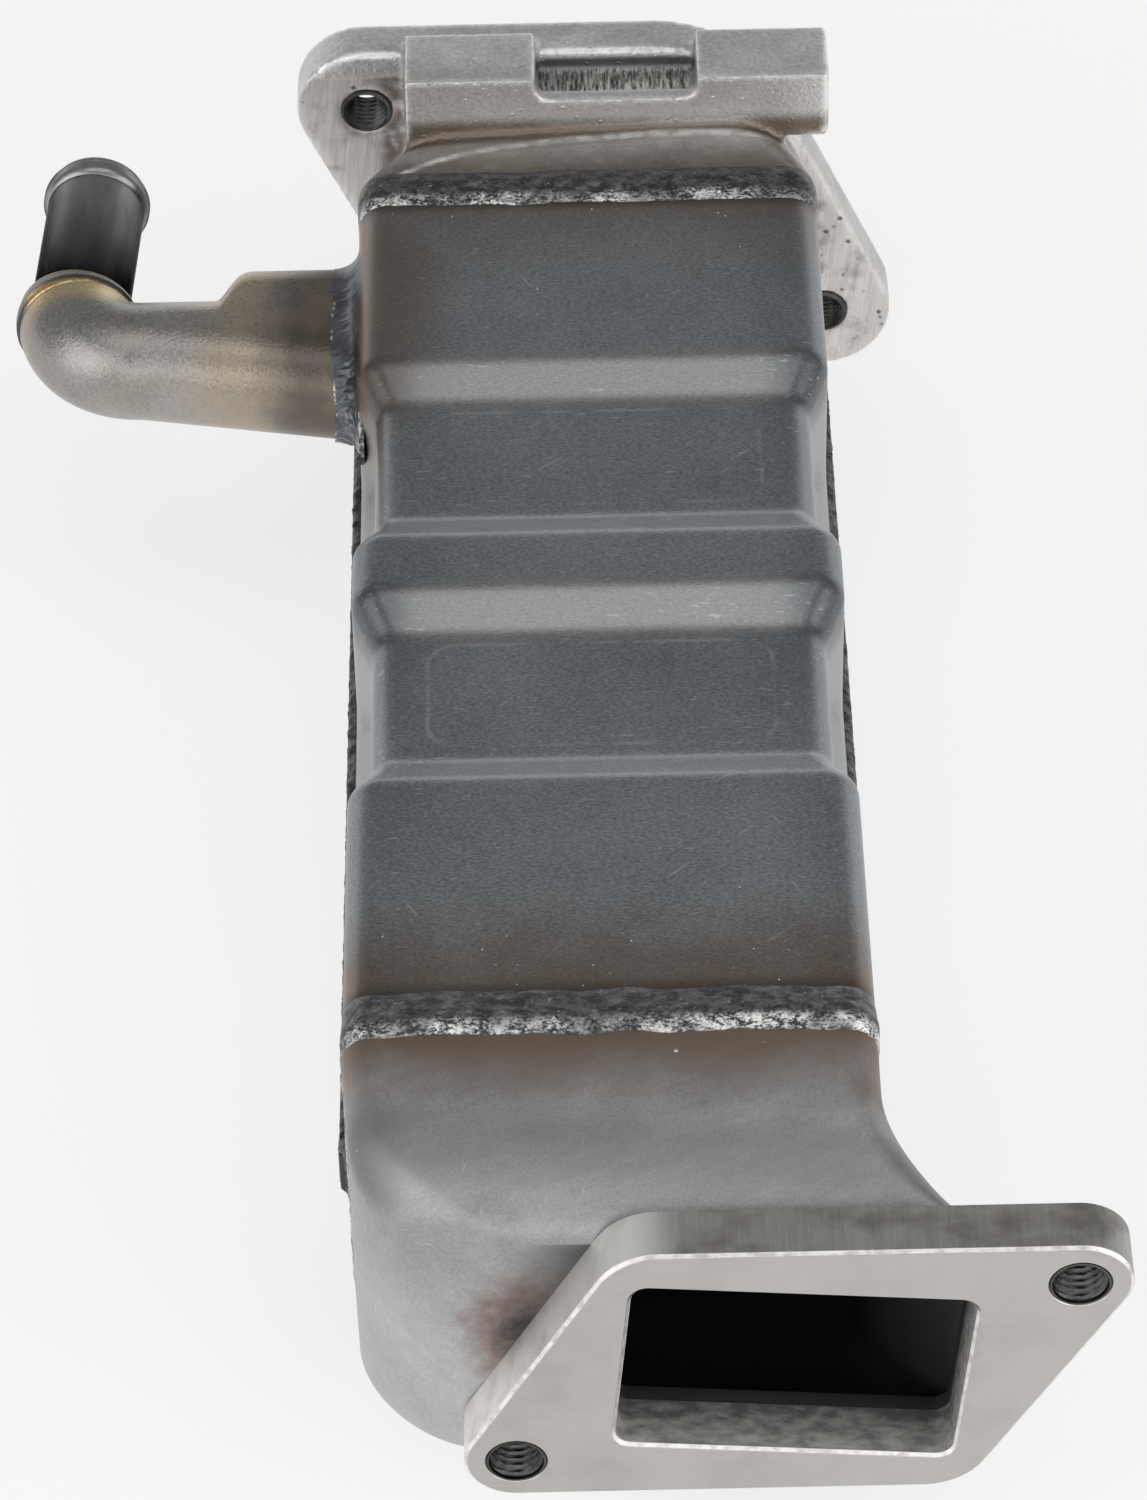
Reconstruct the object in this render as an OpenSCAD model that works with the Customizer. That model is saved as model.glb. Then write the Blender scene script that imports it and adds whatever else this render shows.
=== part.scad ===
// EGR cooler: a ribbed gas-to-coolant heat exchanger with a bolted gas port at each end.
// Millimetres. The origin is the centre of the front port's bolt circle, on the flange face.
// +Y runs from the front port to the rear port and +Z is up.

/* [Housing] */
// Length of the ribbed housing between its end faces
housing_l = 194; // [180:1:230]
// Width over the lower shell
housing_w = 80; // [74:1:96]
// Height of the top above the port centres
housing_rise = 28; // [26:0.5:34]
// Depth of the bottom below the port centres
housing_drop = 29.5; // [27:0.5:34]
// Thickness of the pressed sheet
sheet_t = 1.5; // [1:0.1:2]
// Outer radius of the long corners
corner_r = 5; // [4.5:0.5:7]
// Drop from the port centres to the lower shell's upper edge
seam_drop = 1.2; // [0.5:0.1:3]
// Height over which the upper shell slips into the lower one
lap_h = 6.8; // [5:0.1:8]
// Room between the upper shell's edge and the lower shell's joggle
lap_gap = 0.3; // [0.2:0.1:1]
// Height of the joggle that sets the lower shell's edge outwards
joggle_h = 2; // [1:0.5:2.5]

/* [Housing grooves] */
// Depth of the two grooves that run round the housing
groove_depth = 3.3; // [2:0.1:4]
// Length of a groove's flat floor
groove_l = 26; // [22:0.5:28]
// Length of the slope on each side of a groove
groove_run = 10; // [6:0.5:10]
// Distance between the middles of the grooves
groove_pitch = 56; // [53:0.5:57]
// Shift of both grooves from the housing's middle to the rear
groove_shift = 2; // [0:0.5:2.5]
// Plain wall kept above the seam and below the joggle
groove_keep = 0.6; // [0.4:0.1:1]
// Height over which a groove fades out towards the seam
groove_fade = 6; // [4:0.5:7]
// Share of a slope that is rounded at each of its ends
groove_ease = 0.25; // [0.1:0.05:0.4]

/* [Core] */
// Number of flat gas tubes
tube_count = 7; // [5:1:8]
// Height of a gas tube
tube_h = 5; // [4:0.1:5.4]
// Wall of a gas tube
tube_wall = 0.5; // [0.4:0.1:0.8]
// Gap between the core and the groove floors
core_gap = 0.3; // [0.2:0.1:1]
// Thickness of the two header plates
header_t = 2; // [1.5:0.1:3]
// Distance from a housing end to its header plate
header_inset = 1; // [0.5:0.1:2]
// Brazing gap round a header plate
braze_gap = 0.05; // [0.03:0.01:0.1]
// Thickness of the folded fin strip
fin_t = 0.3; // [0.2:0.05:0.5]
// Distance between neighbouring fin walls
fin_pitch = 3.6; // [2.5:0.1:6]
// Distance from a tube's end to its fin
fin_inset = 4; // [2:0.5:10]

/* [Front manifold] */
// Depth from the housing to the back of the front flange
manifold_l = 36.5; // [32:0.5:48]
// Wall of the formed manifold
manifold_wall = 2.5; // [2:0.1:3]
// Radius where the walls turn into the flat front
nose_r = 7; // [4:0.5:7]
// Radius, seen from above, by which the left wall turns into the flat front
nose_side_r = 19; // [10:0.5:22]
// Radius of the long corners beside the flat front
nose_corner_r = 10; // [8:0.5:14]
// Draw of the left wall on its way to the front
left_draw = 2.2; // [0:0.2:3]
// Fall of the top on its way to the front
top_fall = 2; // [0:0.5:3]
// Depth over which the top then rolls down to the front edge
nose_roll = 18; // [8:0.5:24]
// Depth at which the right wall starts to flare
flare_start = 12; // [6:0.5:16]
// Steepness of the flare
flare_power = 2.2; // [1.6:0.1:3]
// Metal kept beside the port window
port_rim = 1; // [0.6:0.1:2]

/* [Front flange] */
// Sideways shift of the front port from the housing's middle
port_shift = 25; // [22:0.5:28]
// Width of the port window
port_w = 48.5; // [40:0.5:52]
// Height of the port window
port_h = 33; // [28:0.5:33.5]
// Corner radius of the port window
port_r = 2.5; // [1.5:0.1:5]
// Turn of the port window, clockwise from the front
port_tilt = 5; // [0:0.5:8]
// Sideways distance between the tapped holes
front_bolt_dx = 79.2; // [74:0.1:86]
// Height distance between the tapped holes
front_bolt_dz = 35.5; // [33:0.1:40]
// Thickness of the flange
front_flange_t = 8.5; // [7:0.5:12]
// Radius of the ear round each hole
front_ear_r = 7.5; // [6.5:0.1:10]
// Radius of the two plain corners
front_corner_r = 10; // [7:0.5:14]
// Sideways place of the two plain corners
front_corner_x = 18.8; // [16:0.2:22]

/* [Bolts] */
// Major diameter of the threads in both flanges
bolt_d = 8; // [6:0.5:9]

/* [Rear casting] */
// Length of the neck from the housing to the rear flange
neck_l = 29; // [25:0.5:40]
// Sideways shift of the rear port from the housing's middle
rear_shift = 2; // [-2:0.5:4]
// Width of the neck at the flange
neck_end_w = 72; // [66:0.5:76]
// Height of the neck at the flange
neck_end_h = 52; // [46:0.5:56]
// Corner radius of the neck at the flange
neck_end_r = 23; // [16:0.5:24]
// Width of the rear port window
rear_port_w = 56; // [48:0.5:60]
// Height of the rear port window
rear_port_h = 38; // [32:0.5:42]
// Corner radius of the rear port window
rear_port_r = 8; // [5:0.5:12]
// Turn of the rear port, anticlockwise from the front
rear_tilt = 5; // [0:0.5:8]
// Wall of the neck at the housing
neck_wall = 4; // [3:0.1:5]
// Sideways distance between the tapped holes
rear_bolt_dx = 79.4; // [76:0.1:86]
// Height distance between the tapped holes
rear_bolt_dz = 46.2; // [44:0.1:50]
// Thickness of the rear flange
rear_flange_t = 9; // [7:0.5:12]
// Radius of the ear round each hole
rear_ear_r = 12; // [9:0.5:13]
// Radius of the two plain corners
rear_corner_r = 27; // [20:0.5:30]
// Sideways place of the two plain corners
rear_corner_x = 9; // [7:0.5:16]

/* [Slotted bar] */
// Left end of the bar from the housing's middle
bar_left = 30.6; // [26:0.2:33]
// Right end of the bar from the housing's middle
bar_right = 41.5; // [36:0.5:46]
// Depth of the bar in front of the rear flange
bar_d = 11.8; // [9:0.2:15]
// Depth of the bar behind the rear flange's front face
bar_back = 2.3; // [0:0.1:4]
// Height of the bar's top
bar_top = 37.5; // [36:0.5:42]
// Height of the underside of the bar's right overhang
bar_under = 24.5; // [22:0.5:27]
// Height of the foot that carries the bar on the neck
bar_foot = 6; // [2:0.5:12]
// Right end of the foot from the housing's middle
bar_foot_right = 33; // [28:0.5:35]
// Left side of the slot from the housing's middle
slot_left = 8.4; // [4:0.2:14]
// Width of the slot
slot_w = 27.4; // [20:0.2:32]
// Height of the slot's floor
slot_floor = 31; // [30:0.5:32]
// Height of the lip in front of the slot's floor
lip_z = 33.2; // [32.5:0.1:35]
// Thickness of the lip
lip_t = 3; // [2:0.2:4.5]
// Radius of the slot's lower corners
slot_r = 2.6; // [1:0.2:3.4]

/* [Coolant elbow] */
// Distance from the housing's rear end to the middle of the elbow's base
elbow_from_rear = 23.3; // [23.3:0.1:26]
// Height of the elbow's axis
elbow_z = 11.5; // [11:0.5:13]
// Length of the oblong base
base_l = 34.2; // [26:0.2:34.2]
// Diameter of the pipe
pipe_d = 19.6; // [17:0.2:20]
// Distance from the housing wall to the hose tube's axis
elbow_reach = 47.8; // [42:0.2:60]
// Radius of the bend along its axis
bend_r = 11; // [10.8:0.2:16]
// Turn of the bend
bend_turn = 93; // [80:1:95]
// Shift of the pipe's axis from the middle of the base
pipe_shift = -0.5; // [-2:0.1:2]
// Distance from the wall to the shoulder behind which the base narrows
shoulder_from = 17; // [10:0.2:18]
// Length of that shoulder's double curve
shoulder_l = 7; // [6:0.2:14]
// Straight mouth after the bend
mouth_l = 0.8; // [0.5:0.1:6]
// Diameter of the mouth
mouth_d = 21; // [20:0.2:21.4]

/* [Hose tube] */
// Outer diameter of the hose tube
hose_d = 16.6; // [14:0.2:17]
// Bore of the hose tube and the elbow
hose_bore = 13; // [10:0.2:13.4]
// Length of the tube outside the elbow
hose_l = 34; // [26:0.5:50]
// Depth of the tube's seat in the elbow
hose_seat = 2.5; // [1.5:0.1:3]
// Diameter over the hose bead
bead_d = 18.3; // [17.2:0.1:20]
// Rounding radius of the bead's two flanks
bead_round = 1.7; // [1.2:0.1:2.4]
// Width of the bead's level crest
bead_land = 1; // [0.6:0.1:2]
// Distance from the tube's end to the middle of the bead
bead_from_end = 3.4; // [3:0.1:8]

/* [Coolant inlet] */
// Distance from the housing's front end to the inlet
inlet_y = 26; // [22:0.5:27]
// Outer diameter of the inlet boss
inlet_d = 26; // [22:0.5:30]
// Bore of the inlet boss
inlet_bore = 16; // [12:0.2:18]
// Height of the inlet boss
inlet_h = 5.6; // [4:0.1:8]

/* [Welds] */
// Width of the beads round the housing's ends
end_weld_w = 9; // [6:0.5:9]
// Height of the beads round the housing's ends
end_weld_h = 1.3; // [0.8:0.1:2]
// Share of that height left on the side walls
end_weld_side = 0.35; // [0.2:0.05:1]
// Height of the seam welds
seam_weld_h = 2; // [1.5:0.1:2]
// Width of the elbow's weld above and below the base
elbow_weld_min = 0.8; // [0.5:0.1:0.9]
// Width of the elbow's weld in front of and behind the base
elbow_weld_max = 1.7; // [1.2:0.1:1.7]
// Height of the elbow's weld along the pipe
elbow_weld_h = 4.2; // [1.5:0.1:6]
// Leg of the weld round the inlet boss
inlet_weld = 2.2; // [1.5:0.1:3]
// Leg of the braze ring round the hose tube
hose_braze = 1.3; // [0.8:0.1:1.5]

/* [Hidden] */
$fn = 96;
arc_steps = 6;
pipe_sides = 24;
bend_steps = 7;
cut = 1;

// Half width of the upper shell, which slips inside the lower one
upper_a = housing_w / 2 - sheet_t;
lower_a = housing_w / 2;
seam_z = -seam_drop;
lap_z = seam_z - lap_h;
joggle_at = lap_gap - lap_z;
groove_mid = housing_l / 2 + groove_shift;
front_y = manifold_l + front_flange_t;
weld_half = end_weld_w / 2;

// Core sizes follow the room that the groove floors and the long corners leave
core_a = upper_a - groove_depth - corner_r + tube_h / 2;
core_top = housing_rise - groove_depth - sheet_t - core_gap;
core_low = -(housing_drop - groove_depth - sheet_t - core_gap);
tube_pitch = (core_top - core_low - tube_h) / (tube_count - 1);
tube_l = housing_l - 2 * header_inset;
fin_h = tube_h - 2 * tube_wall;
fin_steps = floor((2 * core_a - tube_h) / fin_pitch);

// Port windows are turned, so their reach sideways is a little over half their width
port_reach = (port_w * cos(port_tilt) + port_h * sin(port_tilt)) / 2;
manifold_right = port_shift + port_reach + port_rim + manifold_wall;
bolt_r = bolt_d / 2;
front_half_h = front_bolt_dz / 2 + front_ear_r;
rear_half_h = rear_bolt_dz / 2 + rear_ear_r;
flange_y = housing_l + neck_l;
slot_x = -slot_left;

// Elbow places in the housing's frame
pipe_r = pipe_d / 2;
base_y = housing_l - elbow_from_rear;
pipe_y = base_y + pipe_shift;
straight_l = elbow_reach - bend_r;
mouth_r = mouth_d / 2;

steel = "#8f9090";
dark_steel = "#54585c";
weld_grey = "#3b3a3a";

tube_names = [for (i = [1:tube_count]) str("gas_tube_", i)];
fin_names = [for (i = [1:tube_count]) str("gas_fin_", i)];

// Lofted forms: lists of loops that all have the same number of points

function reversed(v) = [for (i = [len(v) - 1:-1:0]) v[i]];
function mix(a, b, t) = a + (b - a) * t;
function clamp(t) = max(0, min(1, t));
function smooth(t) = (1 - cos(180 * clamp(t))) / 2;

// Straight ramp from 0 to 1 whose first and last share k is rounded
function ramp(t, k) = let (u = clamp(t), d = 2 * k * (1 - k))
    u < k ? u * u / d : u > 1 - k ? 1 - (1 - u) * (1 - u) / d : (u - k / 2) / (1 - k);

// Quarter arc from the angle a0, as points in a plane
function quarter(c, r, a0) =
    [for (i = [0:arc_steps]) let (a = a0 + 90 * i / arc_steps) c + r * [cos(a), sin(a)]];

// Rounded rectangle from its four sides, anticlockwise seen from the front
function round_rect(x0, x1, z0, z1, r) = concat(
    quarter([x1 - r, z0 + r], r, -90), quarter([x1 - r, z1 - r], r, 0),
    quarter([x0 + r, z1 - r], r, 90), quarter([x0 + r, z0 + r], r, 180));

function turned(pts, a, c) =
    [for (p = pts) let (d = p - c) c + [d[0] * cos(a) - d[1] * sin(a), d[0] * sin(a) + d[1] * cos(a)]];

function centred_rect(c, w, h, r, a) =
    turned(round_rect(c[0] - w / 2, c[0] + w / 2, c[1] - h / 2, c[1] + h / 2, r), a, c);

function at_y(pts, y) = [for (p = pts) [p[0], y, p[1]]];

function side_faces(m, k, closed) = [
    for (i = [0:(closed ? m - 1 : m - 2)], j = [0:k - 1])
    let (a = i * k + j, b = i * k + (j + 1) % k, n = (i + 1) % m, c = n * k + (j + 1) % k, d = n * k + j)
    each [[a, c, b], [a, d, c]]];

function cap_faces(first, k, flip) = [
    for (j = [0:k / 2 - 2])
    let (a = first + j, b = a + 1, c = first + k - 2 - j, d = c + 1)
    each (flip ? [[a, c, b], [a, d, c]] : [[a, b, c], [a, c, d]])];

// Solid whose loops close on themselves like a ring
module ring_solid(loops) {
    k = len(loops[0]);
    polyhedron([for (l = loops) each l], side_faces(len(loops), k, true), convexity = 10);
}

// Solid between a first and a last loop, both capped
module loft_solid(loops) {
    k = len(loops[0]);
    m = len(loops);
    faces = concat(side_faces(m, k, false), cap_faces(0, k, false), cap_faces((m - 1) * k, k, true));
    polyhedron([for (l = loops) each l], faces, convexity = 10);
}

// Flat outlines

// Belt round a list of [centre, radius], anticlockwise
function belt_angle(a, b) =
    let (d = b[0] - a[0]) atan2(d[1], d[0]) - acos((a[1] - b[1]) / norm(d));

module belt(rounds) {
    n = len(rounds);
    polygon([for (i = [0:n - 1])
        let (a = rounds[i], b = rounds[(i + 1) % n], t = belt_angle(a, b), u = [cos(t), sin(t)])
        each [a[0] + a[1] * u, b[0] + b[1] * u]]);
    for (c = rounds) translate(c[0]) circle(c[1]);
}

module round_square(w, h, r) {
    square([w - 2 * r, h], center = true);
    square([w, h - 2 * r], center = true);
    for (x = [-1, 1], y = [-1, 1]) translate([x * (w / 2 - r), y * (h / 2 - r)]) circle(r);
}

// Flat slot with round ends, as wide as w over all
module slot_shape(w, h) {
    square([w - h, h], center = true);
    for (x = [-1, 1]) translate([x * (w - h) / 2, 0]) circle(h / 2);
}

// Front-view outline carried from y to y + t
module plate(y, t) translate([0, y + t, 0]) rotate([90, 0, 0]) linear_extrude(t) children();

// The housing is drawn about its own middle, with y = 0 at its front end
module in_housing() translate([-port_shift, front_y, 0]) children();

// Housing shells

// Depth of the grooves at a distance along the housing
function groove_at(y) =
    let (u = abs(abs(y - groove_mid) - groove_pitch / 2) - groove_l / 2)
    groove_depth * (1 - ramp(u / groove_run, groove_ease));

// Stations along the housing: both ends, and both slopes of each groove
slope_shares = [0, groove_ease / 2, groove_ease, 1 - groove_ease, 1 - groove_ease / 2, 1];
slope_at = [for (u = slope_shares) groove_l / 2 + groove_run * u];
groove_side = concat([for (s = reversed(slope_at)) -s], slope_at);
stations = concat(
    [0], [for (s = groove_side) groove_mid - groove_pitch / 2 + s],
    [for (s = groove_side) groove_mid + groove_pitch / 2 + s], [housing_l]);

// Wall and roof line over the foot points of the right wall, drawn in by t, and back down the left wall
function shell_line(foot, h, t, keep, g) =
    let (a = upper_a - t, b = a - g, r = corner_r - t, arc = quarter([b - r, h - t - g - r], r, 0),
         right = concat([for (p = foot) p - [t, 0]], [[a, keep], [b, keep + groove_fade]], arc))
    concat(right, [for (p = reversed(right)) [-p[0], p[1]]]);

function shell_loop(y, foot, h, keep) =
    let (g = groove_at(y))
    at_y(concat(shell_line(foot, h, 0, keep, g), reversed(shell_line(foot, h, sheet_t, keep, g))), y);

module shell(foot, h, keep) loft_solid([for (y = reversed(stations)) shell_loop(y, foot, h, keep)]);

module upper_shell() color(dark_steel) in_housing() difference() {
    shell([[upper_a, lap_z]], housing_rise, seam_z + seam_weld_h + groove_keep);
    translate([-upper_a - cut, base_y, elbow_z]) rotate([90, 0, 90])
        linear_extrude(sheet_t + 2 * cut) slot_shape(base_l - pipe_d + hose_bore, hose_bore);
}

// The lower shell is a mirrored pressing whose edge is joggled outwards to lap over the upper one
lower_foot = [[lower_a, seam_drop], [lower_a, joggle_at], [upper_a, joggle_at + joggle_h]];

module lower_shell() color(dark_steel) in_housing() difference() {
    mirror([0, 0, 1]) shell(lower_foot, housing_drop, joggle_at + joggle_h + groove_keep);
    translate([0, inlet_y, -housing_drop - cut]) cylinder(d = inlet_bore, h = sheet_t + 2 * cut);
}

// Core

function tube_z(i) = core_low + tube_h / 2 + (i - 1) * tube_pitch;

module header_outline() {
    inset = sheet_t + braze_gap;
    h = housing_rise + housing_drop - 2 * inset;
    translate([0, (housing_rise - housing_drop) / 2])
        round_square(2 * (upper_a - inset), h, corner_r - inset + 5 * braze_gap);
}

module header_plate(y) color(steel) in_housing() plate(y, header_t) difference() {
    header_outline();
    for (i = [1:tube_count]) translate([0, tube_z(i)]) slot_shape(2 * core_a, tube_h);
}

module front_header_plate() header_plate(header_inset);

module rear_header_plate() header_plate(housing_l - header_inset - header_t);

module gas_tube(i) color(steel) in_housing() plate(header_inset, tube_l) translate([0, tube_z(i)])
    difference() {
        slot_shape(2 * core_a, tube_h);
        slot_shape(2 * (core_a - tube_wall), fin_h);
    }

// Square-fold fin strip that touches the tube's flat walls in turn
module gas_fin(i) color("silver") in_housing()
    plate(header_inset + fin_inset, tube_l - 2 * fin_inset)
    translate([-fin_steps * fin_pitch / 2, tube_z(i)]) {
        for (s = [0:fin_steps]) translate([s * fin_pitch - fin_t / 2, -fin_h / 2]) square([fin_t, fin_h]);
        for (s = [0:fin_steps - 1])
            translate([s * fin_pitch - fin_t / 2, s % 2 == 0 ? fin_h / 2 - fin_t : -fin_h / 2])
                square([fin_pitch + fin_t, fin_t]);
    }

// Front manifold and flange

// Depths at which the manifold's section is drawn: the collar, the walls, then the rounded nose
manifold_depths = concat(
    [0, weld_half], [for (t = [1:5]) mix(weld_half, manifold_l - nose_r, t / 5)],
    [for (i = [1:4]) manifold_l - nose_r * (1 - sin(22.5 * i))]);

// Section at depth d, drawn in by t from the outer face
function manifold_loop(d, t) =
    let (s = max(0, d - weld_half) / (manifold_l - weld_half),
         n = max(0, d - manifold_l + nose_r) / nose_r,
         tuck = (nose_r - t) * (1 - sqrt(max(0, 1 - n * n))),
         k = max(0, d - manifold_l + nose_roll) / nose_roll,
         roll = (nose_r - t) * (1 - sqrt(max(0, 1 - k * k))),
         m = max(0, d - manifold_l + nose_side_r) / nose_side_r,
         turn = (nose_side_r - t) * (1 - sqrt(max(0, 1 - m * m))),
         v = max(0, d - flare_start) / (manifold_l - flare_start),
         right = upper_a + (manifold_right - upper_a) * pow(v, flare_power),
         top = housing_rise - top_fall * s * s - roll)
    at_y(round_rect(-upper_a + left_draw * s + turn + t, right - t, -housing_drop + tuck + t, top - t,
                    mix(corner_r, nose_corner_r, s * s) - tuck - t),
         -d * (manifold_l - t) / manifold_l);

function port_loop(y) = at_y(centred_rect([port_shift, 0], port_w, port_h, port_r, -port_tilt), y);

module front_manifold() color(steel) in_housing() ring_solid(concat(
    [for (d = manifold_depths) manifold_loop(d, 0)],
    [port_loop(-manifold_l), port_loop(manifold_wall - manifold_l)],
    [for (d = reversed(manifold_depths)) manifold_loop(d, manifold_wall)]));

// Two ears on a falling or rising diagonal and two plain corners, joined by straight edges
module flange_outline(dx, dz, ear_r, corner_x, r, rising) {
    s = rising ? 1 : -1;
    corner_z = dz / 2 + ear_r - r;
    ear = [s * dx / 2, dz / 2];
    corner = [-s * corner_x, corner_z];
    rounds = [[ear, ear_r], [corner, r], [-ear, ear_r], [-corner, r]];
    belt(rising ? rounds : reversed(rounds));
}

module bolt_holes(dx, dz, rising) {
    s = rising ? 1 : -1;
    for (k = [-1, 1]) translate([k * s * dx / 2, k * dz / 2]) circle(bolt_r);
}

module front_flange() color("#b3b0ab") plate(0, front_flange_t) difference() {
    flange_outline(front_bolt_dx, front_bolt_dz, front_ear_r, front_corner_x, front_corner_r, true);
    rotate(-port_tilt) round_square(port_w, port_h, port_r);
    bolt_holes(front_bolt_dx, front_bolt_dz, true);
}

// Rear casting

neck_stations = [0, weld_half / neck_l, 0.32, 0.48, 0.64, 0.82, 1];

// Section of the neck, t = 0 at the housing and 1 at the flange
function neck_loop(t, w0, h0, r0, w1, h1, r1) =
    let (c = weld_half / neck_l, s = smooth(max(0, t - c) / (1 - c) / 2 + 0.25) * 2 - smooth(0.25) * 2,
         q = s / (smooth(0.75) * 2 - smooth(0.25) * 2),
         z0 = (housing_rise - housing_drop) / 2)
    at_y(centred_rect([mix(0, rear_shift, q), mix(z0, 0, q)], mix(w0, w1, q), mix(h0, h1, q),
                      mix(r0, r1, q), mix(0, rear_tilt, q)),
         housing_l + t * neck_l);

module neck_outer() {
    h0 = housing_rise + housing_drop;
    loft_solid([for (t = reversed(neck_stations))
        neck_loop(t, 2 * upper_a, h0, corner_r, neck_end_w, neck_end_h, neck_end_r)]);
}

module neck_inner() {
    w0 = 2 * (upper_a - neck_wall);
    h0 = housing_rise + housing_drop - 2 * neck_wall;
    loops = [for (t = reversed(neck_stations))
        neck_loop(t, w0, h0, corner_r - sheet_t, rear_port_w, rear_port_h, rear_port_r)];
    far = [for (p = loops[0]) p + [0, rear_flange_t + cut, 0]];
    near = [for (p = loops[len(loops) - 1]) p - [0, cut, 0]];
    loft_solid(concat([far], loops, [near]));
}

// Front view of the bar, with the slot's lip as its lowest stretch
module bar_face() {
    difference() {
        union() {
            translate([-bar_left, bar_under]) square([bar_left + bar_right, bar_top - bar_under]);
            translate([-bar_left, bar_foot]) square([bar_left + bar_foot_right, bar_under - bar_foot]);
        }
        translate([slot_x + slot_r, lip_z]) square([slot_w - 2 * slot_r, bar_top]);
        translate([slot_x, lip_z + slot_r]) square([slot_w, bar_top]);
        for (x = [slot_x + slot_r, slot_x + slot_w - slot_r]) translate([x, lip_z + slot_r]) circle(slot_r);
    }
}

module rear_casting() color("#85878a") in_housing() difference() {
    union() {
        translate([rear_shift, 0, 0]) plate(flange_y, rear_flange_t)
            flange_outline(rear_bolt_dx, rear_bolt_dz, rear_ear_r, rear_corner_x, rear_corner_r, false);
        plate(flange_y - bar_d, bar_d + bar_back) bar_face();
        neck_outer();
    }
    neck_inner();
    translate([slot_x, flange_y - bar_d + lip_t, slot_floor])
        cube([slot_w, bar_d - lip_t, bar_top - slot_floor + cut]);
    translate([slot_x, flange_y, rear_half_h]) cube([slot_w, bar_back + cut, bar_top]);
    translate([rear_shift, 0, 0]) plate(flange_y - cut, rear_flange_t + 2 * cut)
        bolt_holes(rear_bolt_dx, rear_bolt_dz, false);
}

// Coolant elbow and hose tube

// Angles round the pipe, none of them straight up or down where the oblong base has its flats
pipe_angles = [for (i = [0:pipe_sides - 1]) (i + 0.5) * 360 / pipe_sides];

function front_edge(s) = mix(base_y - base_l / 2, pipe_y - pipe_r, s / straight_l);
function rear_edge(s) = let (u = clamp((s - shoulder_from) / shoulder_l))
    mix(pipe_y + pipe_r, base_y + base_l / 2, (1 + cos(180 * pow(u, 1.75))) / 2);

// Section of the straight stretch at a distance s from the wall
function elbow_loop(s, r) =
    let (y0 = front_edge(s), y1 = rear_edge(s), half = (y1 - y0) / 2 - pipe_r)
    [for (a = pipe_angles)
        [-upper_a - s, (y0 + y1) / 2 + sign(cos(a)) * half + r * cos(a), elbow_z + r * sin(a)]];

// Section of the bend after it has turned by the angle b, carried on straight by e
function bend_loop(b, r, e = 0) =
    [for (a = pipe_angles) let (q = bend_r - r * cos(a))
        [-upper_a - straight_l - q * sin(b) - e * cos(b), pipe_y + bend_r - q * cos(b) + e * sin(b),
         elbow_z + r * sin(a)]];

// Sections from the wall to the mouth, with radius r0 in the pipe and r1 at the mouth
function elbow_loops(r0, r1) = concat(
    [elbow_loop(0, r0)],
    [for (i = [0:6]) elbow_loop(shoulder_from + shoulder_l * i / 6, r0)],
    [for (i = [0:bend_steps]) let (t = i / bend_steps) bend_loop(bend_turn * t, mix(r0, r1, t))],
    [bend_loop(bend_turn, r1, mouth_l)]);

module coolant_elbow() color("#88847c") in_housing() difference() {
    ring_solid(reversed(concat(
        elbow_loops(pipe_r, mouth_r), reversed(elbow_loops(hose_bore / 2, hose_bore / 2)))));
    at_mouth(-hose_seat) cylinder(d = hose_d, h = hose_seat + cut);
}

// Frame of the mouth: its axis is the hose tube's, and d is the distance outwards from the mouth
module at_mouth(d) translate([-upper_a - straight_l, pipe_y + bend_r, elbow_z]) rotate([0, 0, 90 - bend_turn])
    translate([-bend_r, mouth_l + d, 0]) rotate([-90, 0, 0]) children();

module hose_tube() color("#2f3135") in_housing() at_mouth(-hose_seat) rotate_extrude() difference() {
    union() {
        translate([hose_bore / 2, 0]) square([(hose_d - hose_bore) / 2, hose_seat + hose_l]);
        translate([bead_d / 2 - bead_round, hose_seat + hose_l - bead_from_end]) {
            for (s = [-1, 1]) translate([0, s * bead_land / 2]) circle(bead_round);
            translate([0, -bead_land / 2]) square([bead_round, bead_land]);
        }
    }
    square([hose_bore / 2, hose_seat + hose_l]);
}

module hose_tube_braze() color("#6d5a3c") in_housing() at_mouth(0) rotate_extrude()
    polygon([[hose_d / 2, 0], [hose_d / 2 + hose_braze, 0],
             [hose_d / 2 + hose_braze * 0.4, hose_braze * 0.4], [hose_d / 2, hose_braze]]);

// Coolant inlet

module at_inlet() in_housing() translate([0, inlet_y, -housing_drop]) mirror([0, 0, 1]) children();

module inlet_boss() color(steel) at_inlet() rotate_extrude()
    translate([inlet_bore / 2, 0]) square([(inlet_d - inlet_bore) / 2, inlet_h]);

module inlet_boss_weld() color(weld_grey) at_inlet() rotate_extrude()
    polygon([[inlet_d / 2, 0], [inlet_d / 2 + inlet_weld, 0],
             [inlet_d / 2 + inlet_weld * 0.55, inlet_weld * 0.55], [inlet_d / 2, inlet_weld]]);

// Welds

// Half of the housing's outline at its end, from the bottom's middle round the right side
function end_half(lap_a, step) =
    concat(quarter([upper_a - corner_r, corner_r - housing_drop], corner_r, -90),
           [[upper_a, -joggle_at - joggle_h], [lap_a, -joggle_at],
            [lap_a, seam_z - step], [upper_a, seam_z]],
           quarter([upper_a - corner_r, housing_rise - corner_r], corner_r, 0));

function both_halves(half) = concat(half, [for (p = reversed(half)) [-p[0], p[1]]]);

// Outlines of the housing's end and of the neck or manifold that meets it
housing_path = both_halves(end_half(lower_a, 0));
mate_path = both_halves(end_half(upper_a, seam_weld_h / 2));

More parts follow.
